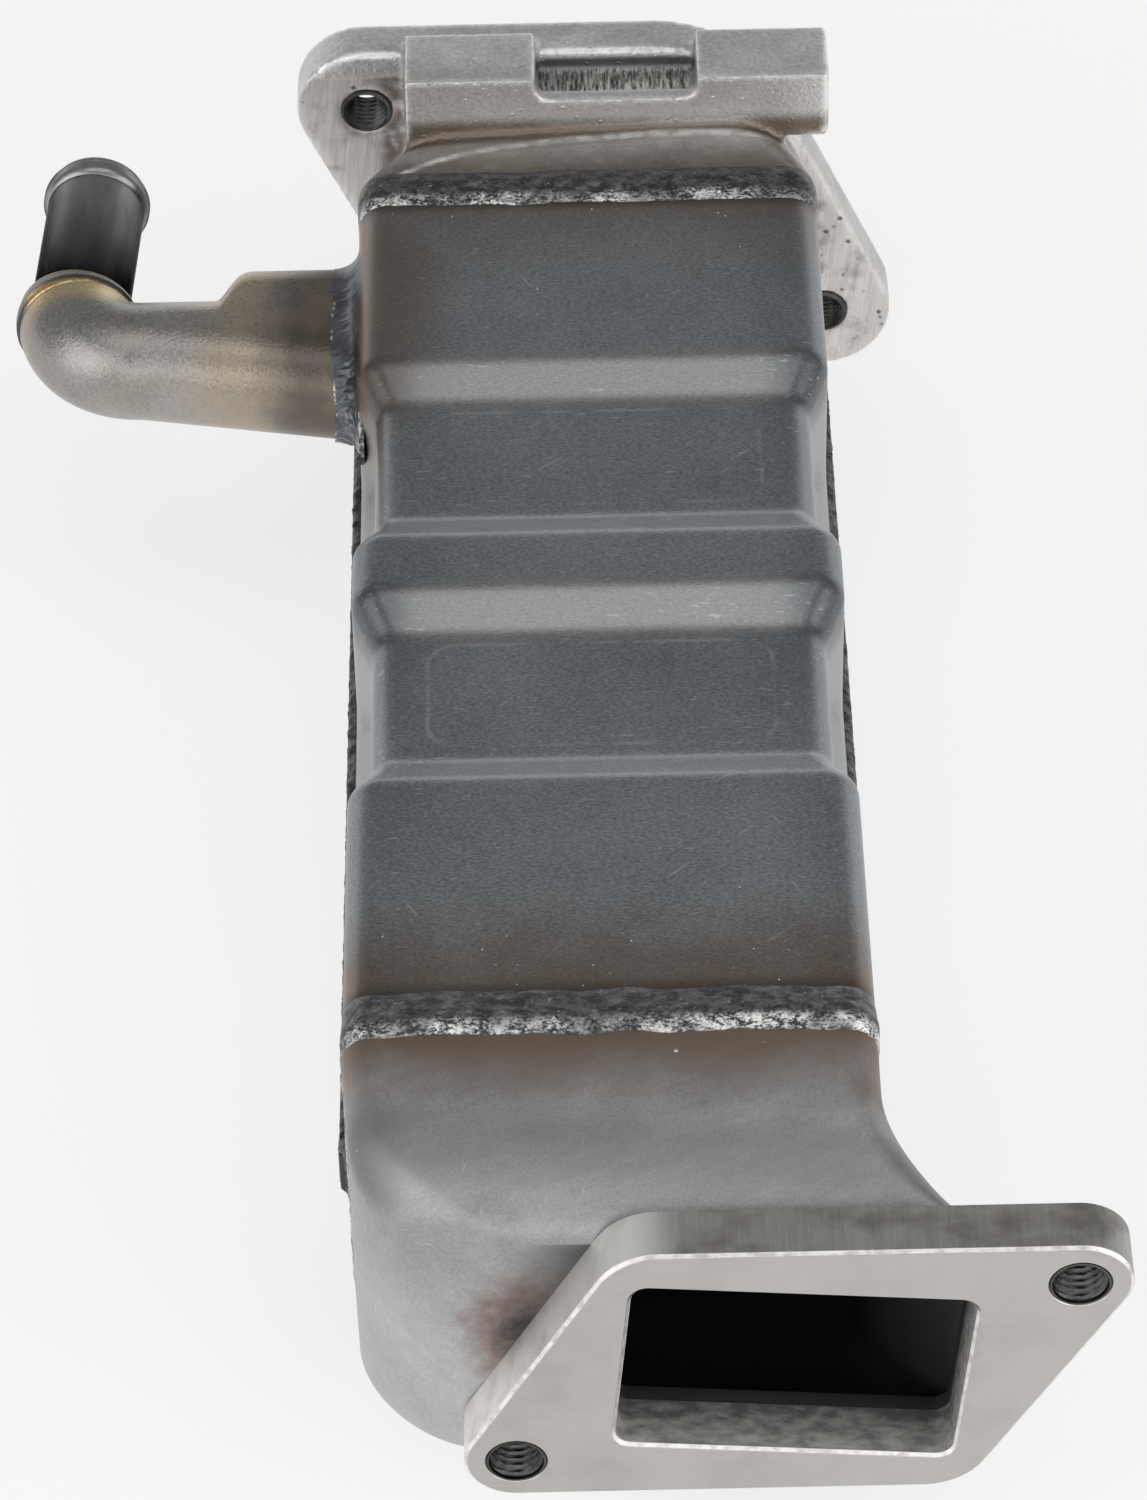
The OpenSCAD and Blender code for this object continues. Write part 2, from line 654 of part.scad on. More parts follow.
// Outward steps along half of those outlines: full on the top and the bottom, a share on the side walls
function out_step(a) = mix(end_weld_side, 1, abs(sin(a))) * [cos(a), sin(a)];
arc_out = [for (i = [0:arc_steps]) 90 * i / arc_steps];
path_out = both_halves(concat(
    [for (a = arc_out) out_step(a - 90)], [for (i = [1:4]) out_step(0)], [for (a = arc_out) out_step(a)]));

function bead_loop(path, rise, y) = at_y([for (i = [0:len(path) - 1]) path[i] + rise * path_out[i]], y);

// Domed bead from the housing's wall to its mate's wall
module end_bead() ring_solid([
    bead_loop(housing_path, 0, weld_half),
    bead_loop(housing_path, 0.6 * end_weld_h, 0.75 * weld_half),
    bead_loop(housing_path, end_weld_h, 0.2 * weld_half),
    bead_loop(mate_path, 0.9 * end_weld_h, -0.45 * weld_half),
    bead_loop(mate_path, 0.5 * end_weld_h, -0.8 * weld_half),
    bead_loop(mate_path, 0, -weld_half),
    bead_loop(mate_path, 0, -0.2 * weld_half),
    bead_loop(housing_path, 0, 0)]);

module front_end_weld() color(weld_grey) in_housing() end_bead();

module rear_end_weld() color(weld_grey) in_housing()
    translate([0, housing_l, 0]) mirror([0, 1, 0]) end_bead();

// Fillet on the lower shell's edge
module seam_bead() in_housing() plate(weld_half, housing_l - end_weld_w) polygon([
    [upper_a, seam_z], [lower_a, seam_z], [lower_a - 0.1 * sheet_t, seam_z + 0.5 * seam_weld_h],
    [mix(upper_a, lower_a, 0.45), seam_z + 0.85 * seam_weld_h], [upper_a, seam_z + seam_weld_h]]);

module right_seam_weld() color(weld_grey) seam_bead();

module left_seam_weld() color(weld_grey)
    translate([-2 * port_shift, 0, 0]) mirror([1, 0, 0]) seam_bead();

// Loop on the wall or on the pipe, widened by w times its share at each angle
function elbow_weld_loop(s, share) =
    let (pts = elbow_loop(s, pipe_r))
    [for (i = [0:pipe_sides - 1])
        let (a = pipe_angles[i], w = share * mix(elbow_weld_min, elbow_weld_max, pow(cos(a), 2)))
        pts[i] + [0, w * cos(a), w * sin(a)]];

module elbow_weld() color(weld_grey) in_housing() ring_solid([
    elbow_weld_loop(0, 0), elbow_weld_loop(elbow_weld_h, 0),
    elbow_weld_loop(elbow_weld_h * 0.4, 0.45), elbow_weld_loop(0, 1)]);

upper_shell();
lower_shell();
front_header_plate();
rear_header_plate();
for (i = [1:tube_count]) gas_tube(i);
for (i = [1:tube_count]) gas_fin(i);
front_manifold();
front_flange();
rear_casting();
coolant_elbow();
hose_tube();
inlet_boss();
front_end_weld();
rear_end_weld();
left_seam_weld();
right_seam_weld();
elbow_weld();
hose_tube_braze();
inlet_boss_weld();
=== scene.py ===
"""Looks of a ribbed exhaust gas cooler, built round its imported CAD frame.

Smooth skins stand for the formed sheets and the casting, rough beads stand for the welds, and every
surface has a procedural finish. Sizes are in millimetres until a mesh is made.
"""

from __future__ import annotations

import logging
import math
from dataclasses import dataclass, field
from enum import Enum
from typing import Any

import bmesh
import bpy
import numpy as np
from mathutils import Matrix, Vector
from mathutils.geometry import tessellate_polygon

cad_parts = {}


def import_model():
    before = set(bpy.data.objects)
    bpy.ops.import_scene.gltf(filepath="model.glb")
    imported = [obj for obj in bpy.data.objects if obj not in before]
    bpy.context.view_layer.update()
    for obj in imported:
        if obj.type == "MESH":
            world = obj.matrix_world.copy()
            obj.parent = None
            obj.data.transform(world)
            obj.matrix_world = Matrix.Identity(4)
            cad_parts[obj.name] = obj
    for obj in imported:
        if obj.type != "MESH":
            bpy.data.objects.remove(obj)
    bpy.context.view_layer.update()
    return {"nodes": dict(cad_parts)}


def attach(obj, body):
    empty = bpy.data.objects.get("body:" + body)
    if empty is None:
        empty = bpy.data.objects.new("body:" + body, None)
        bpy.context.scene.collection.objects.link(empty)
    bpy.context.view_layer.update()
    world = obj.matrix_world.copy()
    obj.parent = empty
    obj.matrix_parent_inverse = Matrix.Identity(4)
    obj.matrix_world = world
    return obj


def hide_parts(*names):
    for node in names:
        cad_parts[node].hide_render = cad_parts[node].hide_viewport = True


log = logging.getLogger("gas_cooler")
Array = np.ndarray
Piece = bpy.types.Object
Mesh = bpy.types.Mesh
Material = bpy.types.Material
Colour = tuple[float, float, float]
Layer = tuple[int, float, Array | float]
MM = 0.001
NOISE_ROUGHNESS = 0.6
# Sockets of the Mix node in its colour form, where names are shared between forms
MIX_FACTOR, MIX_LOW, MIX_HIGH, MIX_RESULT = 0, 6, 7, 2
# Hole of the coolant inlet in the lower shell
INLET_SPOT: Colour = (-25.0, 71.0, -29.0)
INLET_R = 8.0
INLET_CUT = 3.0
# Middle of each thread's near end, its length, and the length over which it starts and ends
THREADS: dict[str, tuple[Colour, float, float]] = {
    "front_upper_thread": ((39.6, 0.0, 17.75), 8.5, 0.9),
    "front_lower_thread": ((-39.6, 0.0, -17.75), 8.5, 0.9),
    "rear_upper_thread": ((-62.7, 268.0, 23.1), 9.0, 0.12),
    "rear_lower_thread": ((16.7, 268.0, -23.1), 9.0, 0.12),
}


def ease(t: Array) -> Array:
    """Smooth step of t from 0 to 1, flat at both ends."""
    u = np.clip(t, 0.0, 1.0)
    return u * u * (3.0 - 2.0 * u)


def ramp(t: Array, share: float) -> Array:
    """Straight ramp from 0 to 1 whose first and last share is a parabola.

    Args:
        t: distance along the ramp, where 1 is its whole length.
        share: part of the length that is rounded at each end.

    Returns:
        The height of the ramp at each t.
    """
    u = np.clip(t, 0.0, 1.0)
    d = 2.0 * share * (1.0 - share)
    middle = (u - share / 2.0) / (1.0 - share)
    return np.where(u < share, u * u / d, np.where(u > 1.0 - share, 1.0 - (1.0 - u) ** 2 / d, middle))


def lattice(u: Array, v: Array, seed: int, around: int = 64) -> Array:
    """Smooth random heights: random numbers on whole u and v, blended by a smooth step between them.

    Args:
        u: first coordinate, which repeats after around cells.
        v: second coordinate, which repeats after 64 cells.
        seed: start of the random numbers.
        around: number of cells after which u repeats.

    Returns:
        Heights from -1 to 1.
    """
    table = np.random.default_rng(seed).uniform(-1.0, 1.0, (around, 64))
    i, j = np.floor(u).astype(int), np.floor(v).astype(int)
    a, b = ease(u - i), ease(v - j)
    i0, i1, j0, j1 = i % around, (i + 1) % around, j % 64, (j + 1) % 64
    low = table[i0, j0] * (1.0 - a) + table[i1, j0] * a
    high = table[i0, j1] * (1.0 - a) + table[i1, j1] * a
    return low * (1.0 - b) + high * b


def relief(u: Array, v: Array, seed: int, layers: tuple[Layer, ...]) -> Array:
    """Sum of several layers of lattice noise.

    Args:
        u: first coordinate, from 0 to 1 round the piece.
        v: second coordinate, from 0 to 1 across it.
        seed: seed of the first layer, to which each further layer adds 1.
        layers: number of cells along u, number along v, and height of each layer.

    Returns:
        Heights in millimetres.
    """
    return sum(high * lattice(u * m, v * n, seed + k, m) for k, (m, n, high) in enumerate(layers))


def circle(sides: int) -> Array:
    """Angles of that many points round a full circle."""
    return np.linspace(0.0, 2.0 * math.pi, sides, endpoint=False)


def stack(x: Array | float, y: Array | float, z: Array | float) -> Array:
    """Points from three coordinates of any shapes that broadcast together."""
    return np.stack(np.broadcast_arrays(x, y, z), axis=-1).astype(float)


def tidy(mesh: Mesh) -> None:
    """Merge a mesh's doubled points and turn its faces outwards."""
    bm = bmesh.new()
    bm.from_mesh(mesh)
    bmesh.ops.remove_doubles(bm, verts=bm.verts, dist=1e-6)
    bmesh.ops.dissolve_degenerate(bm, edges=bm.edges, dist=1e-7)
    bmesh.ops.recalc_face_normals(bm, faces=bm.faces)
    bm.to_mesh(mesh)
    bm.free()


def place(mesh: Mesh, name: str) -> Piece:
    """Object of that name at the origin, linked into the scene."""
    piece = bpy.data.objects.new(name, mesh)
    bpy.context.scene.collection.objects.link(piece)
    return piece


def soften(piece: Piece, angle: float) -> Piece:
    """Shade a piece smooth, with sharp edges where its faces meet at more than the angle in degrees."""
    piece.data.shade_smooth()
    piece.data.set_sharp_from_angle(angle=math.radians(angle))
    return piece


def settle(piece: Piece) -> Piece:
    """Apply a piece's modifiers to its mesh."""
    graph = bpy.context.evaluated_depsgraph_get()
    mesh = bpy.data.meshes.new_from_object(piece.evaluated_get(graph))
    piece.modifiers.clear()
    piece.data = mesh
    return piece


def points_of(mesh: Mesh) -> Array:
    """Points of a mesh in millimetres, one row each."""
    flat = np.zeros(len(mesh.vertices) * 3, np.float32)
    mesh.vertices.foreach_get("co", flat)
    return flat.reshape(-1, 3) / MM


def mark(mesh: Mesh, values: Array, name: str = "zone") -> None:
    """Write one number for each point, which the finishes read by that name."""
    layer = mesh.attributes.get(name) or mesh.attributes.new(name, "FLOAT", "POINT")
    layer.data.foreach_set("value", np.ascontiguousarray(values, np.float32))


def neighbour_mean(mesh: Mesh, values: Array) -> Array:
    """Mean of the values at the points that each point shares an edge with."""
    flat = np.zeros(len(mesh.edges) * 2, np.int32)
    mesh.edges.foreach_get("vertices", flat)
    a, b = flat.reshape(-1, 2).T
    total = np.zeros_like(values, float)
    np.add.at(total, a, values[b])
    np.add.at(total, b, values[a])
    count = np.bincount(flat, minlength=len(values))
    return total / np.maximum(count, 1).reshape(-1, *[1] * (values.ndim - 1))


def standing_out(mesh: Mesh) -> Array:
    """Distance in millimetres by which each point stands out of its neighbours, which is large on edges."""
    points = points_of(mesh)
    normals = np.zeros(len(mesh.vertices) * 3, np.float32)
    mesh.vertices.foreach_get("normal", normals)
    lift = np.einsum("ij,ij->i", points - neighbour_mean(mesh, points), normals.reshape(-1, 3))
    return neighbour_mean(mesh, lift)


class Form:
    """Quads of one piece, gathered grid by grid, with a zone number at each point."""

    def __init__(self) -> None:
        """Start with no points."""
        self._points: list[Array] = []
        self._faces: list[list[int]] = []
        self._zones: list[Array] = []
        self._count = 0

    def grid(
        self, points: Array, zone: Array | float = 0.0, rows: bool = False, cols: bool = False,
    ) -> Form:
        """Join a grid of points into quads.

        Args:
            points: coordinates of shape (m, n, 3).
            zone: one number for all points, or one for each.
            rows: whether the last row joins the first.
            cols: whether the last column joins the first.

        Returns:
            This form.
        """
        m, n, _ = points.shape
        index = self._count + np.arange(m * n).reshape(m, n)
        index = np.vstack((index, index[:1])) if rows else index
        index = np.hstack((index, index[:, :1])) if cols else index
        corners = (index[:-1, :-1], index[:-1, 1:], index[1:, 1:], index[1:, :-1])
        self._faces.extend(np.stack(corners, axis=-1).reshape(-1, 4).tolist())
        self._points.append(points.reshape(-1, 3))
        self._zones.append(np.broadcast_to(zone, (m, n)).reshape(-1))
        self._count += m * n
        return self

    def fill(self, loops: list[Array], zone: float = 0.0) -> Form:
        """Close a flat face.

        Args:
            loops: the outline and then its holes, each of shape (n, 3).
            zone: zone number of the face.

        Returns:
            This form.
        """
        triangles = tessellate_polygon([[Vector(v) for v in loop] for loop in loops])
        points = np.concatenate(loops)
        self._faces.extend((np.array(triangles) + self._count).tolist())
        self._points.append(points)
        self._zones.append(np.full(len(points), zone))
        self._count += len(points)
        return self

    def build(self, name: str, angle: float = 40.0) -> Piece:
        """Make the object.

        Args:
            name: name of the object and of its mesh.
            angle: faces that meet at a larger angle keep a sharp edge.

        Returns:
            The object, with its place in its mesh.
        """
        mesh = bpy.data.meshes.new(name)
        mesh.from_pydata((np.concatenate(self._points) * MM).tolist(), [], self._faces)
        mark(mesh, np.concatenate(self._zones))
        tidy(mesh)
        return soften(place(mesh, name), angle)


class Signal:
    """A socket that shader maths is written on."""

    def __init__(self, paint: Paint, socket: bpy.types.NodeSocket) -> None:
        """Keep the socket and the paint that it belongs to."""
        self.paint = paint
        self.socket = socket

    def __add__(self, other: Signal | float) -> Signal:
        """Sum."""
        return self.paint.math("ADD", self, other)

    def __radd__(self, other: float) -> Signal:
        """Sum with a number on the left."""
        return self.paint.math("ADD", other, self)

    def __sub__(self, other: Signal | float) -> Signal:
        """Difference."""
        return self.paint.math("SUBTRACT", self, other)

    def __rsub__(self, other: float) -> Signal:
        """Difference from a number on the left."""
        return self.paint.math("SUBTRACT", other, self)

    def __mul__(self, other: Signal | float) -> Signal:
        """Product."""
        return self.paint.math("MULTIPLY", self, other)

    def __rmul__(self, other: float) -> Signal:
        """Product with a number on the left."""
        return self.paint.math("MULTIPLY", other, self)

    def __truediv__(self, other: Signal | float) -> Signal:
        """Quotient."""
        return self.paint.math("DIVIDE", self, other)

    def __pow__(self, other: Signal | float) -> Signal:
        """Power."""
        return self.paint.math("POWER", self, other)

    def __abs__(self) -> Signal:
        """Size without sign."""
        return self.paint.math("ABSOLUTE", self, 0.0)

    def most(self, other: Signal | float) -> Signal:
        """The larger of the two."""
        return self.paint.math("MAXIMUM", self, other)

    def least(self, other: Signal | float) -> Signal:
        """The smaller of the two."""
        return self.paint.math("MINIMUM", self, other)

    def step(self, low: float, high: float) -> Signal:
        """Smooth step from 0 at low to 1 at high."""
        node = self.paint.add(
            "ShaderNodeMapRange", {"interpolation_type": "SMOOTHSTEP"},
            {"Value": self, "From Min": low, "From Max": high})
        return Signal(self.paint, node.outputs["Result"])

    def fade(self, low: float, high: float) -> Signal:
        """Smooth step from 1 at low to 0 at high."""
        return 1.0 - self.step(low, high)

    def near(self, middle: float, inner: float, outer: float) -> Signal:
        """Band that is 1 within inner of a middle and 0 beyond outer."""
        return abs(self - middle).fade(inner, outer)


class Paint:
    """One material in the making."""

    def __init__(self, name: str) -> None:
        """Start a material with a bare metal shader."""
        self.material = bpy.data.materials.new(name)
        self.material.use_nodes = True
        self.tree = self.material.node_tree
        self.tree.nodes.clear()
        self.shader = self.add("ShaderNodeBsdfPrincipled")
        self.output = self.add("ShaderNodeOutputMaterial")
        self.tree.links.new(self.shader.outputs["BSDF"], self.output.inputs["Surface"])
        place_of = self.add("ShaderNodeTexCoord").outputs["Object"]
        scaled = self.add(
            "ShaderNodeVectorMath", {"operation": "SCALE"},
            {"Vector": Signal(self, place_of), "Scale": 1.0 / MM})
        self.spot = Signal(self, scaled.outputs["Vector"])
        axes = self.add("ShaderNodeSeparateXYZ", {}, {"Vector": self.spot})
        self.x, self.y, self.z = (Signal(self, axes.outputs[k]) for k in "XYZ")
        self.colour: Signal | None = None

    def add(
        self, kind: str, settings: dict[str, Any] | None = None, inputs: dict[Any, Any] | None = None,
    ) -> bpy.types.Node:
        """Add any node.

        Args:
            kind: the node's type.
            settings: properties of the node, which are set first.
            inputs: values or signals for its sockets, by name or number.

        Returns:
            The node.
        """
        node = self.tree.nodes.new(kind)
        for key, value in (settings or {}).items():
            setattr(node, key, value)
        for key, value in (inputs or {}).items():
            if isinstance(value, Signal):
                self.tree.links.new(value.socket, node.inputs[key])
            else:
                node.inputs[key].default_value = value
        return node

    def math(self, operation: str, a: Signal | float, b: Signal | float) -> Signal:
        """One Math node on two values."""
        node = self.add("ShaderNodeMath", {"operation": operation}, {0: a, 1: b})
        return Signal(self, node.outputs[0])

    def noise(
        self, per_mm: float, detail: float = 3.0,
        stretch: Colour = (1.0, 1.0, 1.0), turn: Colour = (0.0, 0.0, 0.0),
    ) -> Signal:
        """Cloudy noise.

        Args:
            per_mm: number of clouds in a millimetre.
            detail: number of finer layers.
            stretch: factor on the number of clouds along each axis.
            turn: turn of those axes in radians.

        Returns:
            Values round 0.5.
        """
        mapping = self.add("ShaderNodeMapping", {"vector_type": "TEXTURE"}, {
            "Vector": self.spot, "Rotation": turn, "Scale": tuple(1.0 / s for s in stretch)})
        node = self.add("ShaderNodeTexNoise", {}, {
            "Vector": Signal(self, mapping.outputs["Vector"]),
            "Scale": per_mm, "Detail": detail, "Roughness": NOISE_ROUGHNESS})
        return Signal(self, node.outputs["Fac"])

    def cells(self, per_mm: float) -> Signal:
        """Distance from the middle of the nearest of many scattered cells."""
        node = self.add("ShaderNodeTexVoronoi", {}, {"Vector": self.spot, "Scale": per_mm})
        return Signal(self, node.outputs["Distance"])

    def zone(self, name: str = "zone") -> Signal:
        """A number that the piece carries at each point."""
        return Signal(self, self.add("ShaderNodeAttribute", {"attribute_name": name}).outputs["Fac"])

    def box(self, low: Colour, high: Colour, soft: float = 0.4) -> Signal:
        """Mask that is 1 inside a box and fades out over a soft edge."""
        mask: Signal | None = None
        for axis, a, b in zip((self.x, self.y, self.z), low, high):
            inside = axis.step(a - soft, a + soft) * axis.fade(b - soft, b + soft)
            mask = inside if mask is None else mask * inside
        return mask

    def mix(self, low: Signal | Colour, high: Signal | Colour, mask: Signal) -> Signal:
        """Colour that goes from low to high as the mask goes from 0 to 1."""
        low = low if isinstance(low, Signal) else (*low, 1.0)
        high = high if isinstance(high, Signal) else (*high, 1.0)
        node = self.add(
            "ShaderNodeMix", {"data_type": "RGBA", "clamp_factor": True},
            {MIX_FACTOR: mask, MIX_LOW: low, MIX_HIGH: high})
        return Signal(self, node.outputs[MIX_RESULT])

    def base(self, low: Signal | Colour, high: Signal | Colour, mask: Signal) -> None:
        """Begin the surface's colour: low where the mask is 0, high where it is 1."""
        self.colour = self.mix(low, high, mask)

    def lay(self, colour: Signal | Colour, mask: Signal) -> None:
        """Lay a colour over the surface's colour so far, where the mask is 1."""
        self.colour = self.mix(self.colour, colour, mask)

    def scratches(self, seed: float) -> Signal:
        """Short fine scratches that lie in two directions."""
        long = (0.16, 2.2, 1.0)
        first = self.noise(0.8, 1.0, long, (0.0, 0.0, 0.5 + seed)).step(0.72, 0.80)
        second = self.noise(0.8, 1.0, long, (0.3, 0.0, 1.9 + seed)).step(0.73, 0.80)
        return first.most(second) * self.noise(0.05, 1.0).step(0.45, 0.62)

    def oblong(self, centre: tuple[float, float], size: tuple[float, float], radius: float) -> Signal:
        """Distance from the edge of a rounded oblong that lies flat, below 0 inside it."""
        across = abs(self.x - centre[0]) - (size[0] / 2.0 - radius)
        along = abs(self.y - centre[1]) - (size[1] / 2.0 - radius)
        outside = (across.most(0.0) ** 2.0 + along.most(0.0) ** 2.0) ** 0.5
        return outside + across.most(along).least(0.0) - radius

    def ball(self, centre: Colour, reach: Colour) -> Signal:
        """Distance from a point, counted in reaches along each axis."""
        x, y, z = (((axis - c) / r) ** 2.0 for axis, c, r in zip((self.x, self.y, self.z), centre, reach))
        return (x + y + z) ** 0.5

    def cover(self, layer: Signal, mask: Signal) -> None:
        """Lay another shader over the material where the mask is 1."""
        below = Signal(self, self.shader.outputs["BSDF"])
        both = self.add("ShaderNodeMixShader", {}, {0: mask, 1: below, 2: layer})
        self.tree.links.new(both.outputs["Shader"], self.output.inputs["Surface"])

    def done(
        self, rough: Signal | float, height: Signal | None = None, depth: float = 0.1,
        metal: Signal | float = 1.0,
    ) -> Material:
        """Set the shader and hand over the material.

        Args:
            rough: roughness.
            height: relief from 0 to 1, if any.
            depth: depth of the relief in millimetres.
            metal: how metallic the surface is.

        Returns:
            The finished material.
        """
        values: dict[str, Any] = {"Base Color": self.colour, "Roughness": rough, "Metallic": metal}
        if height is not None:
            bump = self.add("ShaderNodeBump", {}, {"Height": height, "Distance": depth * MM, "Strength": 1.0})
            values["Normal"] = Signal(self, bump.outputs["Normal"])
        for key, value in values.items():
            if isinstance(value, Signal):
                self.tree.links.new(value.socket, self.shader.inputs[key])
            else:
                self.shader.inputs[key].default_value = value
        return self.material


@dataclass(frozen=True)
class Housing:
    """Sizes of the ribbed housing, about its own middle with y = 0 at its front end."""

    shift: float = 25.0
    front_y: float = 45.0
    length: float = 194.0
    wall_a: float = 38.5
    lap_a: float = 40.0
    rise: float = 28.0
    drop: float = 29.5
    sheet: float = 1.5
    corner: float = 5.0
    seam_z: float = -1.2
    lap_z: float = -8.0
    joggle_z: float = -8.3
    joggle_h: float = 2.0
    groove_depth: float = 3.3
    groove_l: float = 26.0
    groove_run: float = 10.0
    groove_pitch: float = 56.0
    groove_mid: float = 99.0
    groove_fade: float = 6.0
    groove_ease: float = 0.25
    weld_half: float = 4.5

    def put(self, points: Array) -> Array:
        """Move points from the housing's frame to the part's frame."""
        return points + np.array([-self.shift, self.front_y, 0.0])

    def groove(self, y: Array) -> Array:
        """Depth of the two grooves at a distance along the housing."""
        u = np.abs(np.abs(y - self.groove_mid) - self.groove_pitch / 2.0) - self.groove_l / 2.0
        return self.groove_depth * (1.0 - ramp(u / self.groove_run, self.groove_ease))

    def middles(self) -> Array:
        """Middles of the two grooves along the housing."""
        return self.groove_mid + np.array([-0.5, 0.5]) * self.groove_pitch

    def stations(self) -> Array:
        """Distances along the housing: close together on the slopes, far apart on the flats."""
        slope = self.groove_l / 2.0 + self.groove_run * np.linspace(0.0, 1.0, 15)
        side = np.concatenate((-slope[::-1], slope))
        return np.concatenate(([0.0], (self.middles()[:, None] + side).reshape(-1), [self.length]))


class Half(Enum):
    """Which of the two pressed shells."""

    UPPER = "upper"
    LOWER = "lower"


@dataclass
class Shell:
    """One of the two pressed shells of the housing."""

    housing: Housing
    half: Half
    keep_upper: float = 2.6
    keep_lower: float = 0.6

    def line(self, y: Array, inset: float) -> Array:
        """Wall and roof line at each station.

        The wall stands on its foot points, draws in by the groove's depth over the fade, turns a quarter
        circle and runs over the roof to the mirrored wall.

        Args:
            y: stations along the housing.
            inset: distance inside the outer face.

        Returns:
            Points of shape (stations, line points, 3).
        """
        h = self.housing
        upper = self.half is Half.UPPER
        rise = h.rise if upper else h.drop
        keep = h.seam_z + self.keep_upper if upper else h.joggle_h - h.joggle_z + self.keep_lower
        foot = [(h.wall_a, h.lap_z)] if upper else [
            (h.lap_a, -h.seam_z), (h.lap_a, -h.joggle_z), (h.wall_a, h.joggle_h - h.joggle_z)]
        foot_x, foot_z = np.array(foot).T
        g = h.groove(y)[:, None]
        a, r = h.wall_a - inset, h.corner - inset
        u = np.linspace(0.0, 1.0, 9)[None]
        t = np.linspace(0.0, math.pi / 2.0, 19)[None]
        flat = np.zeros_like(g)
        x = np.hstack((foot_x - inset + flat, a - g * ease(u), a - g - r + r * np.cos(t)))
        z = np.hstack((foot_z + flat, keep + h.groove_fade * u + flat, rise - inset - g - r + r * np.sin(t)))
        x, z = np.hstack((x, -x[:, ::-1])), np.hstack((z, z[:, ::-1]))
        return h.put(stack(x, y[:, None], z if upper else -z))

    def build(self) -> Piece:
        """Closed sheet between the outer line and the line one sheet further in."""
        y = self.housing.stations()
        outer, inner = self.line(y, 0.0), self.line(y, self.housing.sheet)
        form = Form().grid(np.concatenate((outer, inner[:, ::-1]), axis=1), cols=True)
        for end in (0, -1):
            form.grid(np.stack((outer[end], inner[end])))
        return form.build(f"{self.half.value}_shell_skin", 30.0)


def bore(piece: Piece, centre: Colour, radius: float, depth: float) -> Piece:
    """Cut an upright round hole through a piece.

    Args:
        piece: piece that is cut.
        centre: middle of the hole in millimetres.
        radius: radius of the hole.
        depth: height of the cut.

    Returns:
        The piece, cut.
    """
    t = circle(96)
    rings = [stack(centre[0] + r * np.cos(t), centre[1] + r * np.sin(t), centre[2] + z)
             for r, z in ((0.0, -depth), (radius, -depth), (radius, depth), (0.0, depth))]
    cutter = Form().grid(np.stack(rings), cols=True).build("cutter")
    modifier = piece.modifiers.new("bore", "BOOLEAN")
    modifier.object = cutter
    settle(piece)
    bpy.data.objects.remove(cutter)
    return soften(piece, 30.0)


def round_rect(x0: Array, x1: Array, z0: Array, z1: Array, r: Array, steps: int) -> Array:
    """Rounded rectangles from their four sides, as quarter circles joined by straight lines.

    Args:
        x0: left side, one for each rectangle, as the others are.
        x1: right side.
        z0: lower side.
        z1: upper side.
        r: corner radius.
        steps: points on a quarter circle.

    Returns:
        Points of shape (rectangles, 4 * steps, 2).
    """
    t = np.linspace(0.0, math.pi / 2.0, steps)[None]
    corners = ((x1 - r, z0 + r, -1), (x1 - r, z1 - r, 0), (x0 + r, z1 - r, 1), (x0 + r, z0 + r, 2))
    x = [cx[:, None] + r[:, None] * np.cos(t + k * math.pi / 2.0) for cx, _, k in corners]
    z = [cz[:, None] + r[:, None] * np.sin(t + k * math.pi / 2.0) for _, cz, k in corners]
    return np.stack((np.hstack(x), np.hstack(z)), axis=-1)


